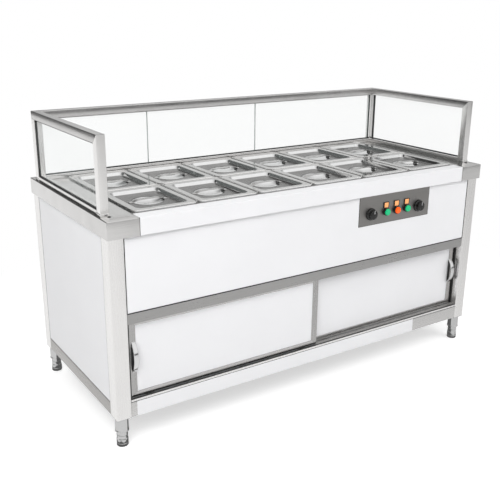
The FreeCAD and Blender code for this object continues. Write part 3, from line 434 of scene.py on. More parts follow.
# %% [markdown]
# ## Camera, room and light
#
# The camera stands to the left of the cabinet's front and looks slightly down, with a small
# roll, at the place and with the lens that a fit to the photograph's edges gave. The cabinet
# stands on a pale floor in a white room. A white room lights a white panel well but leaves
# steel with nothing to mirror, so for reflections only the room has grey parts: a photographer
# hangs dark and light cards round metal for the same reason.

# %% Camera
CAMERA_AT, CAMERA_TURN, LENS = (-1.8283, -2.6191, 1.5668), (33.54, 18.27, 0.507), 53.27


def look(azimuth, elevation, roll):
    """Turn of a camera that looks along an azimuth from +Y, down by an elevation, rolled about its view."""
    a, e, r = (math.radians(v) for v in (azimuth, elevation, roll))
    forward = np.array([math.sin(a) * math.cos(e), math.cos(a) * math.cos(e), -math.sin(e)])
    right = np.array([math.cos(a), -math.sin(a), 0])
    up = np.cross(right, forward)
    side = math.cos(r) * right + math.sin(r) * up
    top = math.cos(r) * up - math.sin(r) * right
    return Matrix(np.column_stack([side, top, -forward]).tolist()).to_4x4()


camera = placed("camera", bpy.data.cameras.new("camera"))
camera.data.sensor_width = 36
camera.data.lens = LENS
camera.matrix_world = Matrix.Translation(CAMERA_AT) @ look(*CAMERA_TURN)
bpy.context.scene.camera = camera
bpy.context.scene.view_settings.view_transform = "Standard"
print("camera at", [round(v, 3) for v in camera.location])

# %% Tools for floor and world
FLOOR_HALF, FLOOR_DROP, FLOOR_LIFT = 9.0, 0.0005, 0.52
SHADOW_REACH, FADE_START, FADE_RATE = (1.6, 1.3), 0.8, 1.6
SHADOW_PATCH, SHADOW_PATCH_GREY = (0.94, 0.40), 0.16
FLOOR_SHADE_RAMP = ((0.0, 0.95), (0.4, 0.92), (0.7, 0.8), (1.0, 0.7))


class Stage(Tree):
    """Tree of the floor or the world, which answers each kind of ray in its own way."""

    def ray(self, *names):
        """One for any of the named kinds of ray."""
        path = self.tree.nodes.new("ShaderNodeLightPath")
        total = path.outputs[names[0]]
        for name in names[1:]:
            total = self.math("MAXIMUM", total, path.outputs[name])
        return total

    def greys(self, value, stops):
        """Greys along a value: each stop is a place and a tone."""
        return self.tones(value, *((at, grey(tone)) for at, tone in stops))

    def held(self, value):
        """Value held between none and one."""
        return self.math("MINIMUM", self.math("MAXIMUM", value, 0.0), 1.0)

    def glow(self, tone, strength=1.0, kind="ShaderNodeEmission"):
        """Light of one grey, or of a colour's socket."""
        colour = tone if isinstance(tone, bpy.types.NodeSocket) else (*grey(tone), 1)
        return self.add(kind, Color=colour, Strength=strength).outputs[0]

    def blend(self, share, first, second):
        """Two shaders mixed by a share."""
        node = self.add("ShaderNodeMixShader", Fac=share)
        self.put(node.inputs[1], first)
        self.put(node.inputs[2], second)
        return node.outputs[0]

    def axes(self, kind):
        """Parts x, y and z of a place."""
        return self.add("ShaderNodeSeparateXYZ", Vector=self.add("ShaderNodeTexCoord").outputs[kind]).outputs


# %% Floor
def floor_material():
    """White floor with the cabinet's own shadow near it, plain white further off. Metal sees it as a painted
    grey ramp, darker to the right, with a painted shadow, a dark patch under the cabinet, which the chromed feet
    mirror."""
    material = bpy.data.materials.new("pale_floor")
    material.use_nodes = True
    t = Stage(material.node_tree)
    matt = t.tree.nodes["Principled BSDF"]
    for name, value in (("Base Color", (0.8, 0.8, 0.8, 1)), ("Roughness", 0.9), ("Specular IOR Level", 0.1)):
        matt.inputs[name].default_value = value
    place = t.axes("Object")
    reach = t.math("SQRT", t.math("ADD", *(t.math("POWER", t.math("DIVIDE", axis, half), 2.0)
                                           for axis, half in zip(place, SHADOW_REACH))))
    lifted = t.tree.nodes.new("ShaderNodeAddShader")
    t.put(lifted.inputs[0], matt.outputs[0])
    t.put(lifted.inputs[1], t.glow(1.0, FLOOR_LIFT))
    far = t.math("MULTIPLY", t.math("SUBTRACT", reach, FADE_START), FADE_RATE)
    seen = t.blend(t.held(far), lifted.outputs[0], t.glow(1.0))
    # painted shadow: a dark patch under the cabinet that only metal sees
    under = t.math("MULTIPLY", *(t.math("LESS_THAN", t.math("ABSOLUTE", axis), half)
                                 for axis, half in zip(place, SHADOW_PATCH)))
    # painted shade: the floor that metal sees darkens from left to right
    spread = t.math("DIVIDE", t.math("ADD", place[0], 2.5), 5.0)
    mirror = t.blend(under, t.glow(t.greys(spread, FLOOR_SHADE_RAMP)), t.glow(SHADOW_PATCH_GREY))
    first = t.blend(t.ray("Is Camera Ray", "Is Transmission Ray"), matt.outputs[0], seen)
    last = t.blend(t.ray("Is Glossy Ray"), first, mirror)
    t.put(t.tree.nodes["Material Output"].inputs["Surface"], last)
    return material


def floor_sheet():
    """Flat square, wide enough to pass behind the cabinet in every view."""
    points = [(x, y, -FLOOR_DROP) for x in (-FLOOR_HALF, FLOOR_HALF) for y in (-FLOOR_HALF, FLOOR_HALF)]
    mesh = bpy.data.meshes.new("floor")
    mesh.from_pydata(points, [], [[0, 2, 3, 1]])
    mesh.materials.append(floor_material())
    placed("floor", mesh)


floor_sheet()

# %% World
ROOM_LIGHT = 0.5
CEILING_START, CEILING_SPAN, CEILING_GREY = 0.6, 0.25, 0.95
HORIZON_START, HORIZON_SPAN, LOW_GREY = 0.03, 0.12, 0.12
CARDS = ((0.0, 0.45), (0.13, 0.85), (0.24, 1.0), (0.37, 1.0), (0.44, 0.6), (0.52, 0.4), (0.60, 0.55),
         (0.635, 0.8), (0.695, 0.75), (0.73, 0.2), (0.79, 0.05), (0.93, 0.04))


def room():
    """World of one strength for light, white for the camera and for glass, and cards of grey for metal. The
    cards go round by compass direction and fade into a light ceiling."""
    world = bpy.data.worlds.new("room")
    bpy.context.scene.world = world
    world.use_nodes = True
    t = Stage(world.node_tree)
    light = t.tree.nodes["Background"]
    light.inputs["Color"].default_value = (1, 1, 1, 1)
    light.inputs["Strength"].default_value = ROOM_LIGHT
    x, y, z = t.axes("Generated")
    compass = t.math("ADD", t.math("DIVIDE", t.math("ARCTAN2", y, x), 2 * math.pi), 0.5)
    ring = t.greys(compass, CARDS)
    height = t.held(t.math("DIVIDE", t.math("SUBTRACT", z, CEILING_START), CEILING_SPAN))
    horizon = t.held(t.math("DIVIDE", t.math("SUBTRACT", z, HORIZON_START), HORIZON_SPAN))
    dark, cards, ceiling = (t.glow(tone, kind="ShaderNodeBackground") for tone in (LOW_GREY, ring, CEILING_GREY))
    mirror = t.blend(height, t.blend(horizon, dark, cards), ceiling)
    white = t.glow(1.0, kind="ShaderNodeBackground")
    first = t.blend(t.ray("Is Camera Ray", "Is Transmission Ray"), light.outputs[0], white)
    last = t.blend(t.ray("Is Glossy Ray"), first, mirror)
    t.put(t.tree.nodes["World Output"].inputs["Surface"], last)


room()


# %% Lamps
def soft_lamp(name, place, aim, size, power):
    """Square lamp at a place, facing a point. It lights, but no surface mirrors it."""
    data = bpy.data.lights.new(name, "AREA")
    data.shape = "SQUARE"
    data.size = size
    data.energy = power
    item = placed(name, data)
    facing = (Vector(aim) - Vector(place)).to_track_quat("-Z", "Y")
    item.matrix_world = Matrix.Translation(place) @ facing.to_matrix().to_4x4()
    item.visible_glossy = False
    item.visible_camera = False


soft_lamp("key_lamp", (-2.6, -2.4, 3.4), (0, 0, 0.6), 2.2, 95)
soft_lamp("fill_lamp", (2.4, -3.0, 2.4), (0, 0, 0.6), 2.4, 40)
soft_lamp("back_lamp", (0.4, 2.8, 3.2), (0, 0, 0.9), 2.4, 45)
print("room and", len(bpy.data.lights), "lamps ready")

# %% [markdown]
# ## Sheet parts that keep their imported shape
#
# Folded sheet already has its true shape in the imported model. What it lacks is the small round
# of every fold, which is what catches the light. A weld joins the model's loose triangles and a
# bevel rounds each edge by 0.3 to 1.2 mm. Two parts that are round already get neither.

# %% Kept parts


def finish_node(name, material, edge):
    """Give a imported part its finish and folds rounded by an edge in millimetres."""
    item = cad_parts[name]
    item.data.materials.clear()
    item.data.materials.append(material)
    if edge:
        weld = item.modifiers.new("weld", "WELD")
        weld.merge_threshold = 1e-5
        fold = item.modifiers.new("folds", "BEVEL")
        fold.width = edge * MM
        fold.segments = 2
        fold.limit_method = "ANGLE"
        fold.angle_limit = math.radians(50)
        fold.use_clamp_overlap = True
        fold.harden_normals = False


KEPT = {
    "bottom_deck": (STEEL_X, 0.4),
    "body_panels": (WHITE, 1.0),
    "front_panels": (WHITE, 0.9),
    "mid_rail": (RAIL, 1.2),
    "partition_shelf": (STEEL_X, 0.4),
    "door_tracks": (DOOR_RAIL, 0.4),
    "door_left_panel": (WHITE, 0.8),
    "door_right_panel": (WHITE, 0.8),
    "water_tank": (STEEL_X, 0.5),
    "heating_elements": (STEEL_X, 0.0),
    "pan_support_grid": (STEEL_Y, 0.5),
    "control_plate": (PLATE, 0.3),
    "control_box": (GREY_AND_SHADE, 0.4),
    "drain_valve": (BRASS, 0.0),
    "drain_lever": (RED, 0.4),
    "guard_seals": (SEAL_AND_SHADE, 0.5),
    "front_ledge": (WHITE, 1.0),
}
for node, (material, edge) in KEPT.items():
    finish_node(node, material, edge)
print(len(KEPT), "packed parts finished, of", len(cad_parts))

# %% [markdown]
# ## Posts and rails
#
# The cabinet stands on four posts of folded sheet, nearly square, joined by rails round the
# bottom. A bar is a rounded rectangle carried along a line, so one function makes every post and
# rail, and its small corner radius rounds the edge as a real fold does.

# %% Posts and rails
POST_X, POST_Y, POST_WIDE, POST_DEEP = 890 * MM, (-351 * MM, 365 * MM), 58 * MM, 60 * MM
RAIL_X, RAIL_Z = POST_X - POST_WIDE / 2, 150 * MM
SIDE_X, SIDE_Y, SIDE_Z = 899 * MM, (POST_Y[0] + POST_DEEP / 2, POST_Y[1] - POST_DEEP / 2), 146 * MM
FRAME_TOP, FRAME_LOW = 878.5 * MM, 120 * MM
FOLD = 1.8 * MM
X, Y, Z = np.eye(3)
CORNERS = [(f"{end}_{hand}", side * POST_X, y) for end, y in zip(("front", "back"), POST_Y)
           for hand, side in (("left", -1), ("right", 1))]
posts = [bar((x, y, FRAME_LOW), (x, y, FRAME_TOP), POST_WIDE * X, POST_DEEP * Y, FOLD) for name, x, y in CORNERS]
front_rails = [bar((-RAIL_X, y, RAIL_Z), (RAIL_X, y, RAIL_Z), 60 * MM * Y, 60 * MM * Z, FOLD) for y in POST_Y]
side_rails = [bar((x, SIDE_Y[0], SIDE_Z), (x, SIDE_Y[1], SIDE_Z), 40 * MM * X, 52 * MM * Z, FOLD)
              for x in (-SIDE_X, SIDE_X)]
piece("body_frame", posts + front_rails + side_rails, [POST] * 4 + [BASE_RAIL] * 2 + [SIDE_RAIL] * 2,
      replaces="base_frame")
print(len(posts), "posts and", len(front_rails + side_rails), "rails")

# %% [markdown]
# ## Feet
#
# Each foot is a chromed cup under the post, with a rolled lip, and a turned pad that screws in
# and out of it. Turned parts are made by carrying a profile round the vertical axis.

# %% Feet
CUP = softened([(6.1, 62), (26.5, 62), (26.5, 66.2), (25, 67.6), (25, 118), (0, 118)], (1.0, 1.2, 0.6, 0.5)) * MM
PAD = softened([(0, 0), (20.4, 0), (22, 1.8), (22, 12), (21.3, 13), (21.3, 15), (22, 16), (22, 29), (20.5, 33),
                (20.5, 44), (21.3, 45), (21.3, 48), (20.5, 49), (20.5, 61.7), (6, 61.7), (6, 105), (0, 105)],
               0.7, 3) * MM
cups = []
for name, x, y in CORNERS:
    cups.append(moved(lathe(CUP), (x, y, 0)))
    cups.append(moved(block((-29, -30, 117), (29, 30, 120), 0.8), (x, y, 0)))
    piece("foot_pad_" + name, [moved(lathe(PAD), (x, y, 0))], FOOT, body="foot_adjuster_" + name,
          replaces="foot_adjuster_" + name)
piece("foot_cups", cups, FOOT, replaces="foot_tubes")
print(len(PAD), "points in a foot's profile")

# %% [markdown]
# ## Worktop
#
# The top is one folded sheet with a bath opening and a notch for the white front ledge, so a
# single closed shell goes round its section: under the top, down inside the apron, up outside
# it, over the fold and in to the opening. Every ring has the notch in it, and a ring half way
# keeps the flat top's faces clear of the notch.

# %% Folded top
SLAB_TOP, APRON_LOW, SHEET, TOP_FOLD = 880, 815, 1.5, 2.8
EDGE = np.array([(-925, -393), (-803.3, -393), (-803.3, -336.7), (803.3, -336.7),
                 (803.3, -393), (925, -393), (925, 407), (-925, 407)], float)
INWARD = np.array([(1, 1), (-1, 1), (-1, 1), (1, 1), (1, 1), (-1, 1), (-1, -1), (1, -1)], float)
HALF_WAY = np.array([(-880, -345), (-830, -345), (-806, -334), (806, -334),
                     (830, -345), (880, -345), (880, 360), (-880, 360)], float)
OPENING = np.array([(-786, -321)] * 3 + [(786, -321)] * 3 + [(786, 307), (-786, 307)], float)
CURVE = 4


def edge_ring(inset, radius=2.5):
    """Outline moved inwards by an inset, each corner replaced by a curve between points a radius away."""
    corners = EDGE + inset * INWARD
    into = corners - np.roll(corners, 1, axis=0)
    outof = np.roll(into, -1, axis=0)
    a = corners - radius * into / np.linalg.norm(into, axis=1, keepdims=True)
    b = corners + radius * outof / np.linalg.norm(outof, axis=1, keepdims=True)
    t = np.linspace(0, 1, CURVE)[None, :, None]
    return ((1 - t) ** 2 * a[:, None] + 2 * t * (1 - t) * corners[:, None] + t ** 2 * b[:, None]).reshape(-1, 2)


def folded_top():
    """Closed shell of the top, its section given as a ring and a height at each step."""
    inner, middle = (np.repeat(points, CURVE, axis=0) for points in (OPENING, HALF_WAY))
    under = SLAB_TOP - SHEET
    rows = [(inner, under), (middle, under), (edge_ring(SHEET), under), (edge_ring(SHEET), APRON_LOW),
            (edge_ring(0), APRON_LOW)]
    for angle in np.linspace(0, math.pi / 2, 6):
        rows.append((edge_ring(TOP_FOLD * (1 - math.cos(angle))), SLAB_TOP - TOP_FOLD * (1 - math.sin(angle))))
    rows += [(middle, SLAB_TOP), (inner, SLAB_TOP), (inner, under)]
    return loft([ring * MM for ring, height in rows], [height * MM for ring, height in rows])


piece("folded_worktop", [folded_top()], TOP, replaces="worktop", sharp=30)
print("worktop with a fold of", TOP_FOLD, "mm")

# %% [markdown]
# ## Glass guard
#
# A welded frame of 32 mm square tube carries the glass on two sides and the back. Tubes that
# meet at a corner are cut at 45 degrees and welded, and the cut shows as a fine line. Only the
# back posts end square, under the rails. A bar's end is slid along the bar in proportion to the
# place in its section, which is what a mitre is.

# %% Guard frame
TUBE, HALF_TUBE = 32 * MM, 16 * MM
GUARD_X, GUARD_FRONT, GUARD_BACK = 899 * MM, -303 * MM, 343 * MM
TOP_Z, SLAB = 1144 * MM, 880 * MM
HAIR = 0.4 * MM
SILL_Z, SILL_HIGH, COLLAR = 889 * MM, 18 * MM, 17.6


def guard_tubes():
    """Two side rails and a back rail mitred together, front posts mitred to the side rails, sills, and a low
    collar at each post's foot, which is a guess from the darker foot of the left front post."""
    tubes, kinds = [], []
    for side in (-1, 1):
        x = side * GUARD_X
        tubes.append(bar((x, GUARD_FRONT + HAIR, TOP_Z), (x, GUARD_BACK - HAIR, TOP_Z), TUBE * X, TUBE * Z, FOLD,
                         cut_start=(0, -1), cut_end=(side, 0)))
        tubes.append(bar((x, GUARD_FRONT, SLAB), (x, GUARD_FRONT, TOP_Z - HAIR), TUBE * X, TUBE * Y, FOLD,
                         cut_end=(0, -1)))
        tubes.append(bar((x, GUARD_BACK, SLAB), (x, GUARD_BACK, TOP_Z - HALF_TUBE), TUBE * X, TUBE * Y, FOLD))
        tubes.append(bar((x, GUARD_FRONT + HALF_TUBE, SILL_Z), (x, GUARD_BACK - HALF_TUBE, SILL_Z), TUBE * X,
                         SILL_HIGH * Z, FOLD))
        kinds += [GUARD_RAIL, GUARD_POST, GUARD_POST, SILL]
        for y in (GUARD_FRONT, GUARD_BACK):
            tubes.append(moved(block((-COLLAR, -COLLAR, 0), (COLLAR, COLLAR, 9), 1.4), (x, y, SLAB)))
            kinds.append(GUARD_POST)
    tubes.append(bar((-GUARD_X + HAIR, GUARD_BACK, TOP_Z), (GUARD_X - HAIR, GUARD_BACK, TOP_Z), TUBE * Y, TUBE * Z,
                     FOLD, cut_start=(-1, 0), cut_end=(1, 0)))
    tubes.append(bar((-GUARD_X + HALF_TUBE, GUARD_BACK, SILL_Z), (GUARD_X - HALF_TUBE, GUARD_BACK, SILL_Z), TUBE * Y,
                     SILL_HIGH * Z, FOLD))
    return tubes, kinds + [BACK_RAIL, SILL]


tubes, kinds = guard_tubes()
piece("guard_tubes", tubes, kinds, replaces="guard_frame")
print(len(tubes), "tubes in the guard")

# %% [markdown]
# ## Glass
#
# The panes are made 5 mm thick, which is a guess. A ground edge is greener and duller than the
# face, so each of the three back panes has a thin strip in a second finish at both ends.

# %% Panes
GLASS_LOW, GLASS_HIGH = 901 * MM, 1125 * MM
SIDE_PANE = (-284 * MM, 324 * MM)
PANE_BACK = (340.5 * MM, 345.5 * MM)
panes = [rounded_block((x, SIDE_PANE[0], GLASS_LOW), (x + side * 5 * MM, SIDE_PANE[1], GLASS_HIGH), 0.6 * MM)
         for side, x in ((-1, -905 * MM), (1, 905 * MM))]
JOINTS = (-880 * MM, -412 * MM, 157 * MM, 880 * MM)
edges = []
for left, right in zip(JOINTS, JOINTS[1:]):
    low, high = left + 0.5 * MM, right - 0.5 * MM
    panes.append(rounded_block((low, PANE_BACK[0], GLASS_LOW), (high, PANE_BACK[1], GLASS_HIGH), 0.6 * MM))
    for x in (low, high - 0.9 * MM):
        edges.append(rounded_block((x, PANE_BACK[0] - 0.1 * MM, GLASS_LOW),
                                   (x + 0.9 * MM, PANE_BACK[1] + 0.1 * MM, GLASS_HIGH), 0.3 * MM, 1))
piece("guard_panes", panes + edges, [GLASS] * len(panes) + [GLASS_EDGE] * len(edges), replaces="guard_glass")
print(len(panes), "panes")

# %% [markdown]
# ## Food pans and lids
#
# Pans and lids are pressed from one sheet, so both are a stack of rounded rectangles lofted
# together: down the outside, round the rim and back down the inside, with the corners taking
# the press tool's radius. The lid's round dish comes from circles with the same number of
# points. Each band of the loft has its own even tone of the same steel, which paints light and
# shade: the photograph shows walls and dish brighter than the flat panel, and both tones are
# painted reflection, the bright rim is painted highlight and the dark grooves painted shade.
# Their highlights mirror the room's grey cards.

# %% Pressed sheet tools
COLUMN_X = [(column - 2.5) * 266 * MM for column in range(6)]
ROW_Y = (-170 * MM, 156 * MM)
PLACES = [(6 * row + column + 1, x, y) for row, y in enumerate(ROW_Y) for column, x in enumerate(COLUMN_X)]
PAN_RIM = 884 * MM
CORNER_POINTS = 13


def plate_ring(half, inset, corner):
    """Rounded rectangle of half sizes less an inset, in millimetres."""
    return rounded_ring(half[0] - inset, half[1] - inset, corner, CORNER_POINTS) * MM


def disc_ring(radius):
    """Circle with as many points as a rounded rectangle has."""
    return rounded_ring(radius, radius, radius, CORNER_POINTS) * MM


def pressed_bands(half, corner_at, bands):
    """Bands of one loft. A band is a finish and its rows; a row is an inset and a height, or a radius and a
    height with a third value set, and each band starts at the last row of the one before."""
    surfaces, finishes, last = [], [], None
    for finish, rows in bands:
        rings = [last] if last else []
        for row in rows:
            ring = disc_ring(max(row[0], 0.001)) if len(row) > 2 else plate_ring(half, row[0], corner_at(row[0]))
            rings.append((ring, row[1] * MM))
        surfaces.append(loft([ring for ring, height in rings], [height for ring, height in rings]))
        finishes.append(finish)
        last = rings[-1]
    return surfaces, finishes


def circles(profile):
    """Rows of circles from a profile of radius and height."""
    return [(radius, height, "circle") for radius, height in profile]


# %% Pans
PAN_HALF = (132.5, 162.5)


def pan_bands():
    """Pan from the middle of its underside, out and up, over the turned rim, and down the inside."""
    under = softened([(60, -100), (18.2, -100), (13.6, -12), (13.2, -1), (1.2, -1), (1.2, -3.6)], (14, 6, 2, 0.6), 6)
    rim = softened([(1.2, -3.6), (0, -3.6), (0, 0), (12.8, 0), (14.4, -12), (15.6, -14), (19.4, -99), (60, -99)],
                   (0.4, 1.6, 2.4, 1, 1, 13), 6)
    foot = [(0, -100, "circle"), (60, -100, "circle")]
    top = [(60, -99, "circle"), (0, -99, "circle")]
    return [(PAN, foot + list(under) + list(rim) + top)]


def pan_corner(inset):
    return float(np.interp(inset, (0, 12, 13, 20, 60), (26, 30, 36, 31, 25)))


surfaces, finishes = pressed_bands(PAN_HALF, pan_corner, pan_bands())
for count, x, y in PLACES:
    piece(f"food_pan_{count}", [moved(s, (x, y, PAN_RIM)) for s in surfaces], finishes, body=f"pan_{count}",
          replaces=f"pan_{count}", sharp=50)
print(len(PLACES), "pans")

# %% Lids
LID_HALF, LID_BASE = (131.5, 161.5), 884.3 * MM


def lid_bands():
    """Lid from the middle of its underside, out to the rim, over it, and down into the tub and the dish."""
    under_dish = softened([(0, -28), (50, -28), (60.3, -13), (66, -13)], (3, 2), 5)
    under_tub = softened([(38, -13), (35.2, -13), (29.4, 0), (0, 0)], (2, 2), 4)
    rim = softened([(0, 0), (0, 3), (3, 3), (3.8, 1.4)], (1.0, 0.9), 4)
    groove = [(4.4, 1), (6.0, 1)]
    wall = softened([(29.6, 0.95), (30.4, 0.6), (35.2, -10.4), (36.4, -12)], (1.2, 2.0), 5)
    dip = np.linspace(1, 0, 12)
    dish = [(58 * share, -27 + 13.4 * share ** 2.4) for share in dip]
    return [
        (LID_FLANGE, circles(under_dish) + list(under_tub)),
        (LID_RIM, list(rim)),
        (LID_GROOVE_SHADE, groove),
        (LID_FLANGE, [(28.2, 1)]),
        (LID_GROOVE_SHADE, [(29.6, 0.95)]),
        (LID_WALL, list(wall)),
        (LID_GROOVE_SHADE, [(37.6, -12)]),
        (LID_PANEL, circles([(63, -12)])),
        (LID_GROOVE_SHADE, circles([(61.6, -12.1), (59, -12.9)])),
        (LID_DISH, circles(dish)),
    ]


def lid_corner(inset):
    return float(np.interp(inset, (0, 3, 29, 30, 36, 40), (24, 21, 23, 22, 17, 15)))


def swept(path, across, width, thick, radius, quarter=4):
    """Strap bent along a path: a rounded rectangle stands square to the path at every point. Its width
    may change along it."""
    path = np.array(path, float)
    along = np.gradient(path, axis=0)
    along /= np.linalg.norm(along, axis=1, keepdims=True)
    normal = np.cross(along, across)
    width = np.broadcast_to(width, len(path))
    ring = rounded_ring(width[0] / 2, thick / 2, radius, quarter)
    wide = (ring[:, 0] * (width / width[0])[:, None])[..., None]
    points = path[:, None] + wide * np.array(across, float) + ring[:, 1:] * normal[:, None]
    return capped(points.reshape(-1, 3), grid_faces(len(path), len(ring)), len(path), len(ring))


def lid_strap():
    """Flat strap with its feet on the panel and its middle raised for the fingers."""
    path = softened([(-76, -11), (-64, -11), (-45, -3), (45, -3), (64, -11), (76, -11)], 9, 6)
    points = np.column_stack([path[:, 0], np.zeros(len(path)), path[:, 1]]) * MM
    return swept(points, (0, 1, 0), 22 * MM, 2 * MM, 0.8 * MM)


surfaces, finishes = pressed_bands(LID_HALF, lid_corner, lid_bands())
for count, x, y in PLACES:
    piece(f"pan_lid_{count}", [moved(s, (x, y, LID_BASE)) for s in surfaces + [lid_strap()]], finishes + [LID_STRAP],
          body=f"lid_{count}", replaces=f"lid_{count}", sharp=50)
print(len(PLACES), "lids")

# %% [markdown]
# ## Controls
#
# Two black knobs and three lamp buttons stand on a steel plate. A moulded knob is a turned
# shape whose grip is pushed in and out round the circle to make flutes, with a raised bar that
# carries a white line. Each button is a coloured cap in a black bezel under an amber window.

# %% Knobs
PLATE_FACE, DIAL_Z = -381.5 * MM, 733 * MM


def fluted(profile, depth, count, segments=96):
    """Turned shape whose profile is drawn in by a cosine wave round the circle. depth is given for each
    profile point."""
    angle = np.linspace(0, 2 * math.pi, segments, endpoint=False)
    wave = 0.5 - 0.5 * np.cos(count * angle)
    radius = np.maximum(profile[:, :1] - np.array(depth)[:, None] * wave, 0)
    points = np.stack([radius * np.cos(angle), radius * np.sin(angle),
                       np.broadcast_to(profile[:, 1:], radius.shape)], -1)
    return points.reshape(-1, 3), grid_faces(len(profile), segments)


SKIRT = softened([(0, 0.3), (26.8, 0.3), (27, 3), (25.4, 8), (20.5, 9.5)], (0.5, 1.2, 2), 4) * MM
GRIP = np.array([(20.5, 9.5), (20.9, 11), (20.6, 20), (19.8, 22.3), (17.4, 23.6), (12, 23.9), (0, 23.9)]) * MM
GRIP_DEPTH = np.array([0, 1.4, 1.4, 1.1, 0.4, 0, 0]) * MM


def knob(name, x):
    """Skirt, fluted grip, pointer bar with its white line, and a spindle into the plate."""
    parts = [
        lathe(SKIRT, 64),
        fluted(GRIP, GRIP_DEPTH, 14),
        block((-3.2, -16, 18), (3.2, 20.4, 25.2), 1.6),
        block((-0.8, 5, 24.8), (0.8, 19.6, 25.5), 0.3, 1),
        lathe(softened([(0, -30), (4, -30), (4, 0.6), (0, 0.6)], 0.4) * MM, 24),
    ]
    piece(name + "_dressed", [moved(p, (x, PLATE_FACE, DIAL_Z), TO_FRONT) for p in parts],
          [BLACK, BLACK, BLACK, WHITE, CHROME], body=name, replaces=name, sharp=45)


knob("knob_left", 267 * MM)
knob("knob_right", 545 * MM)
print("knobs with", len(GRIP), "profile rows")

# %% Buttons and windows
BUTTONS = (("button_left", 352 * MM, GREEN, "green_cap"), ("button_middle", 412 * MM, ORANGE, "orange_cap"),
           ("button_right", 472 * MM, GREEN, "green_cap"))
CAP_SKIRT = softened([(0, 8), (14.2, 8), (14.2, 15.2), (13.4, 15.4)], 0.2) * MM
CAP_FACE = softened([(13.4, 15.4), (13.3, 17.0), (12.2, 17.8), (6, 18), (0, 18)], 0.8) * MM
BEZEL = softened([(14.5, 0), (17, 0), (17, 11), (16, 12), (14.9, 12), (14.5, 11.4), (14.5, 0)],
                 (0.2, 1, 0.5, 0.4, 0.3), 4) * MM
STEM = softened([(0, -15), (4, -15), (4, 8), (0, 8)], 0.3) * MM
for name, x, finish, slot in BUTTONS:
    parts = [lathe(CAP_SKIRT), lathe(CAP_FACE), lathe(STEM, 24)]
    piece(name + "_cap", [moved(p, (x, PLATE_FACE, DIAL_Z), TO_FRONT) for p in parts], [finish, finish, CHROME],
          body=name, replaces=name, sharp=50)


def legend(x):
    """Bezel ring, framed window above it, and the amber lens sunk in the frame."""
    parts = [
        moved(lathe(BEZEL, 56), (0, 0, DIAL_Z), TO_FRONT),
        block((-13, -4, 773), (13, 0, 775.5), 1.0),
        block((-11.6, -3.1, 752), (11.6, 0, 773.6), 0.5),
        block((-14.5, -4, 749), (-11, 0, 775.5), 1.0),
        block((11, -4, 749), (14.5, 0, 775.5), 1.0),
    ]
    return [moved(part, (x, PLATE_FACE, 0)) for part in parts]


parts = [part for name, x, finish, slot in BUTTONS for part in legend(x)]
piece("legend_frames", parts, [BLACK, BLACK, AMBER, BLACK, BLACK] * len(BUTTONS), replaces="legend_plates",
      sharp=45)
print(len(BUTTONS), "buttons with windows")

# %% [markdown]
# ## Sliding doors
#
# Each door is a white tray in a mitred frame. The four frame members have different widths, so
# each mitre runs from the outer corner to the inner one at its own slope. A grey strip under
# the door, also a guess, fills the gap to the track as painted shade.

# %% Door frames
DOOR_LOW, DOOR_HIGH = 190 * MM, 515 * MM
BOTTOM_RAIL, TOP_RAIL = 21 * MM, 40 * MM
SLIT = 0.8 * MM


def door_frame(left, right, face, left_stile, right_stile):
    """Two stiles and two rails, 17 mm thick, each end slid by the slope of its mitre."""
    middle, depth = face + 8.5 * MM, 17 * MM * Y
    members = []
    for edge, wide, side in ((left, left_stile, 1), (right, right_stile, -1)):
        x = edge + side * wide / 2
        members.append(bar(
            (x, middle, DOOR_LOW + BOTTOM_RAIL / 2), (x, middle, DOOR_HIGH - TOP_RAIL / 2), wide * X, depth, 1.2 * MM,
            cut_start=(side * BOTTOM_RAIL / wide, 0), cut_end=(-side * TOP_RAIL / wide, 0)))
    for z, high, side in ((DOOR_LOW, BOTTOM_RAIL, 1), (DOOR_HIGH, TOP_RAIL, -1)):
        members.append(bar(
            (left + left_stile / 2 + SLIT, middle, z + side * high / 2),
            (right - right_stile / 2 - SLIT, middle, z + side * high / 2),
            depth, high * Z, 1.2 * MM,
            cut_start=(0, side * left_stile / high), cut_end=(0, -side * right_stile / high)))
    return members


def glides(left, right, face):
    """Nylon blocks that carry the door along the track, a guess."""
    return [moved(block((0, 2, 182.3), (40, 15, 190.5), 1.5), (x, face, 0)) for x in (left + 60 * MM, right - 100 * MM)]


DOORS = (
    ("door_left", -858 * MM, 12 * MM, -365 * MM, 32 * MM, 27 * MM),
    ("door_right", -10 * MM, 858 * MM, -345 * MM, 27 * MM, 32 * MM),
)
for name, left, right, face, left_stile, right_stile in DOORS:
    members = door_frame(left, right, face, left_stile, right_stile)
    # grey strip under the door: painted shade in the gap to the track
    under_door_shade = rounded_block((left + 2 * MM, face + 2 * MM, 184.5 * MM), (right - 2 * MM, face + 5 * MM, 191 * MM),
                          0.8 * MM)
    piece(name + "_members", members + glides(left, right, face) + [under_door_shade],
          [STILE, STILE, DOOR_RAIL, DOOR_RAIL, NYLON, NYLON, GREY_AND_SHADE], body=name, replaces=name + "_frame")
print(len(DOORS), "doors")

# %% [markdown]
# ## Bow handles
#
# A bow handle is a flat strap bent in an arc, a little narrower at its ends, which stand on flat
# pads on the stile.

# %% Handles


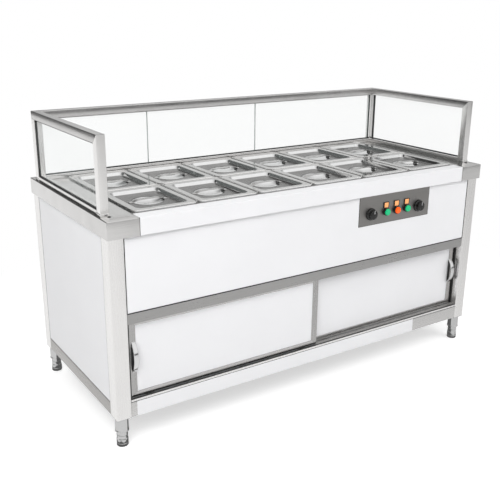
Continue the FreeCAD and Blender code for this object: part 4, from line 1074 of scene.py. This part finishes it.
def bow(x, face, z):
    """Strap along an arc of 122 mm span and 27 mm rise, with a flat pad at each end and a dark strip
    behind it. The strip paints the dark inside of the handle, mirrored in the stile, as painted reflection.
    The strip is a guess from the dark inside of the handle in the photograph."""
    half, rise = 61 * MM, 27 * MM
    radius = (half ** 2 + rise ** 2) / (2 * rise)
    reach = math.asin(half / radius)
    wide, thick, end = 19 * MM, 5 * MM, np.linspace(-1, 1, 41)
    angle, line = reach * end, radius - thick / 2
    path = np.column_stack([np.full(41, x), face + radius - rise - line * np.cos(angle), z + line * np.sin(angle)])
    strap = swept(path, (1, 0, 0), wide * (1 - 0.12 * np.abs(end) ** 6), thick, 2.2 * MM, 6)
    parts = [block((-8.5, -2.4, s * 57 - 3.6), (8.5, 0.2, s * 57 + 3.6), 1.0) for s in (-1, 1)]
    # dark strip behind the strap: painted reflection of its inner side in the stile
    parts.append(block((-8, -0.9, -52), (8, 0.4, 52), 0.4))
    return [strap] + [moved(part, (x, face, z)) for part in parts]


for name, x, face, z in (("door_left", -836 * MM, -365 * MM, 352 * MM), ("door_right", 830 * MM, -345 * MM, 362 * MM)):
    piece(name + "_bow", bow(x, face, z), [HANDLE] * 3 + [SEAL_AND_SHADE], body=name, replaces=name + "_handle",
          sharp=50)
print("2 bow handles")

# %% [markdown]
# ## Painted shade strips
#
# The photograph shows fine dark lines where white panels meet steel, at the front and on the left.
# They are painted shade: thin dark strips fill the gaps, and the right side and the back, which it
# doesn't show, get the same. Painted shade too are the strip under the doors, for the black line
# under the left door, the strips at both ends of the opening, for the dark lines there, and the
# dark discs beside the guard's front posts, for a dark spot beside the left one. Guesses too are
# the brush strip, for the black line under the left door, the door buffers, for the dark lines at
# both ends of the opening, and the slab plugs, for a dark spot beside the left front post of the
# guard. The nosing edges the door track, and its bright steel paints the highlight along it.

# %% Painted gap shade
GAP_SHADE_STRIPS = [    # mid rail, base rail, three edges of the control plate, foot of the back panel
    ((-860, -381.4, 528.8), (860, -379, 533)), ((-861, -381.4, 179.2), (861, -379.4, 181.2)),
    ((201.6, -381.4, 683.6), (610.4, -378.6, 685.6)), ((201.4, -381.4, 684), (203.4, -378.6, 815)),
    ((608.6, -381.4, 684), (610.6, -378.6, 815)), ((-860, 391.5, 179), (860, 394.4, 181.2)),
]
MIRRORED = [    # front post, end of the ledge, three edges of the side panel, back post
    ((861.6, -381.2, 532), (858.6, -378.6, 815)), ((804.2, -393.2, 815.4), (802.6, -390, 880)),
    ((918.4, -321.6, 172), (915.5, -319.4, 815)), ((918.4, 333.4, 172), (915.5, 335.6, 815)),
    ((918.4, -320, 170), (915.5, 334, 174)), ((861.6, 391.5, 180), (859, 394.4, 815)),
]
for side in (-1, 1):
    GAP_SHADE_STRIPS += [(np.multiply(low, (side, 1, 1)), np.multiply(high, (side, 1, 1))) for low, high in MIRRORED]
# The nosing takes the posts' bright steel, which paints the highlight along the track's lip.
NOSING_Y, NOSING_Z = -378.6 * MM, 184.6 * MM
nosing = bar((-860 * MM, NOSING_Y, NOSING_Z), (860 * MM, NOSING_Y, NOSING_Z), 4 * MM * Y, 8.4 * MM * Z, 1.0 * MM)
piece("track_nosing", [nosing], POST)
# Dark discs beside the front guard posts: painted shade at the posts' feet.
foot_shade_disc = lathe(softened([(0, 0), (6.5, 0), (6.5, 0.8), (5, 1.8), (0, 2)], 0.8) * MM, 32)
piece("post_foot_shades", [moved(foot_shade_disc, (x * MM, -334 * MM, SLAB)) for x in (-889, 889)], SEAL_AND_SHADE)
# Dark strips at both ends of the door opening, and one under the doors: painted shade.
edge_shade_bars = [bar((x * MM, y * MM, 191 * MM), (x * MM, y * MM, 488 * MM), 5 * MM * X, deep * MM * Y, 1.2 * MM)
           for x, y, deep in ((-858.4, -373, 11), (858.4, -348.5, 4))]
edge_shade_bars.append(bar((-858 * MM, -374 * MM, 188 * MM), (858 * MM, -374 * MM, 188 * MM), 4 * MM * Y, 5 * MM * Z, 1 * MM))
piece("door_edge_shades", edge_shade_bars, SEAL_AND_SHADE)
# Thin dark strips in the gaps where white panels meet steel: painted shade.
piece("painted_gap_shades", [block(low, high, 0.45, 2) for low, high in GAP_SHADE_STRIPS], SEAL_AND_SHADE)
print(len(GAP_SHADE_STRIPS), "beads")
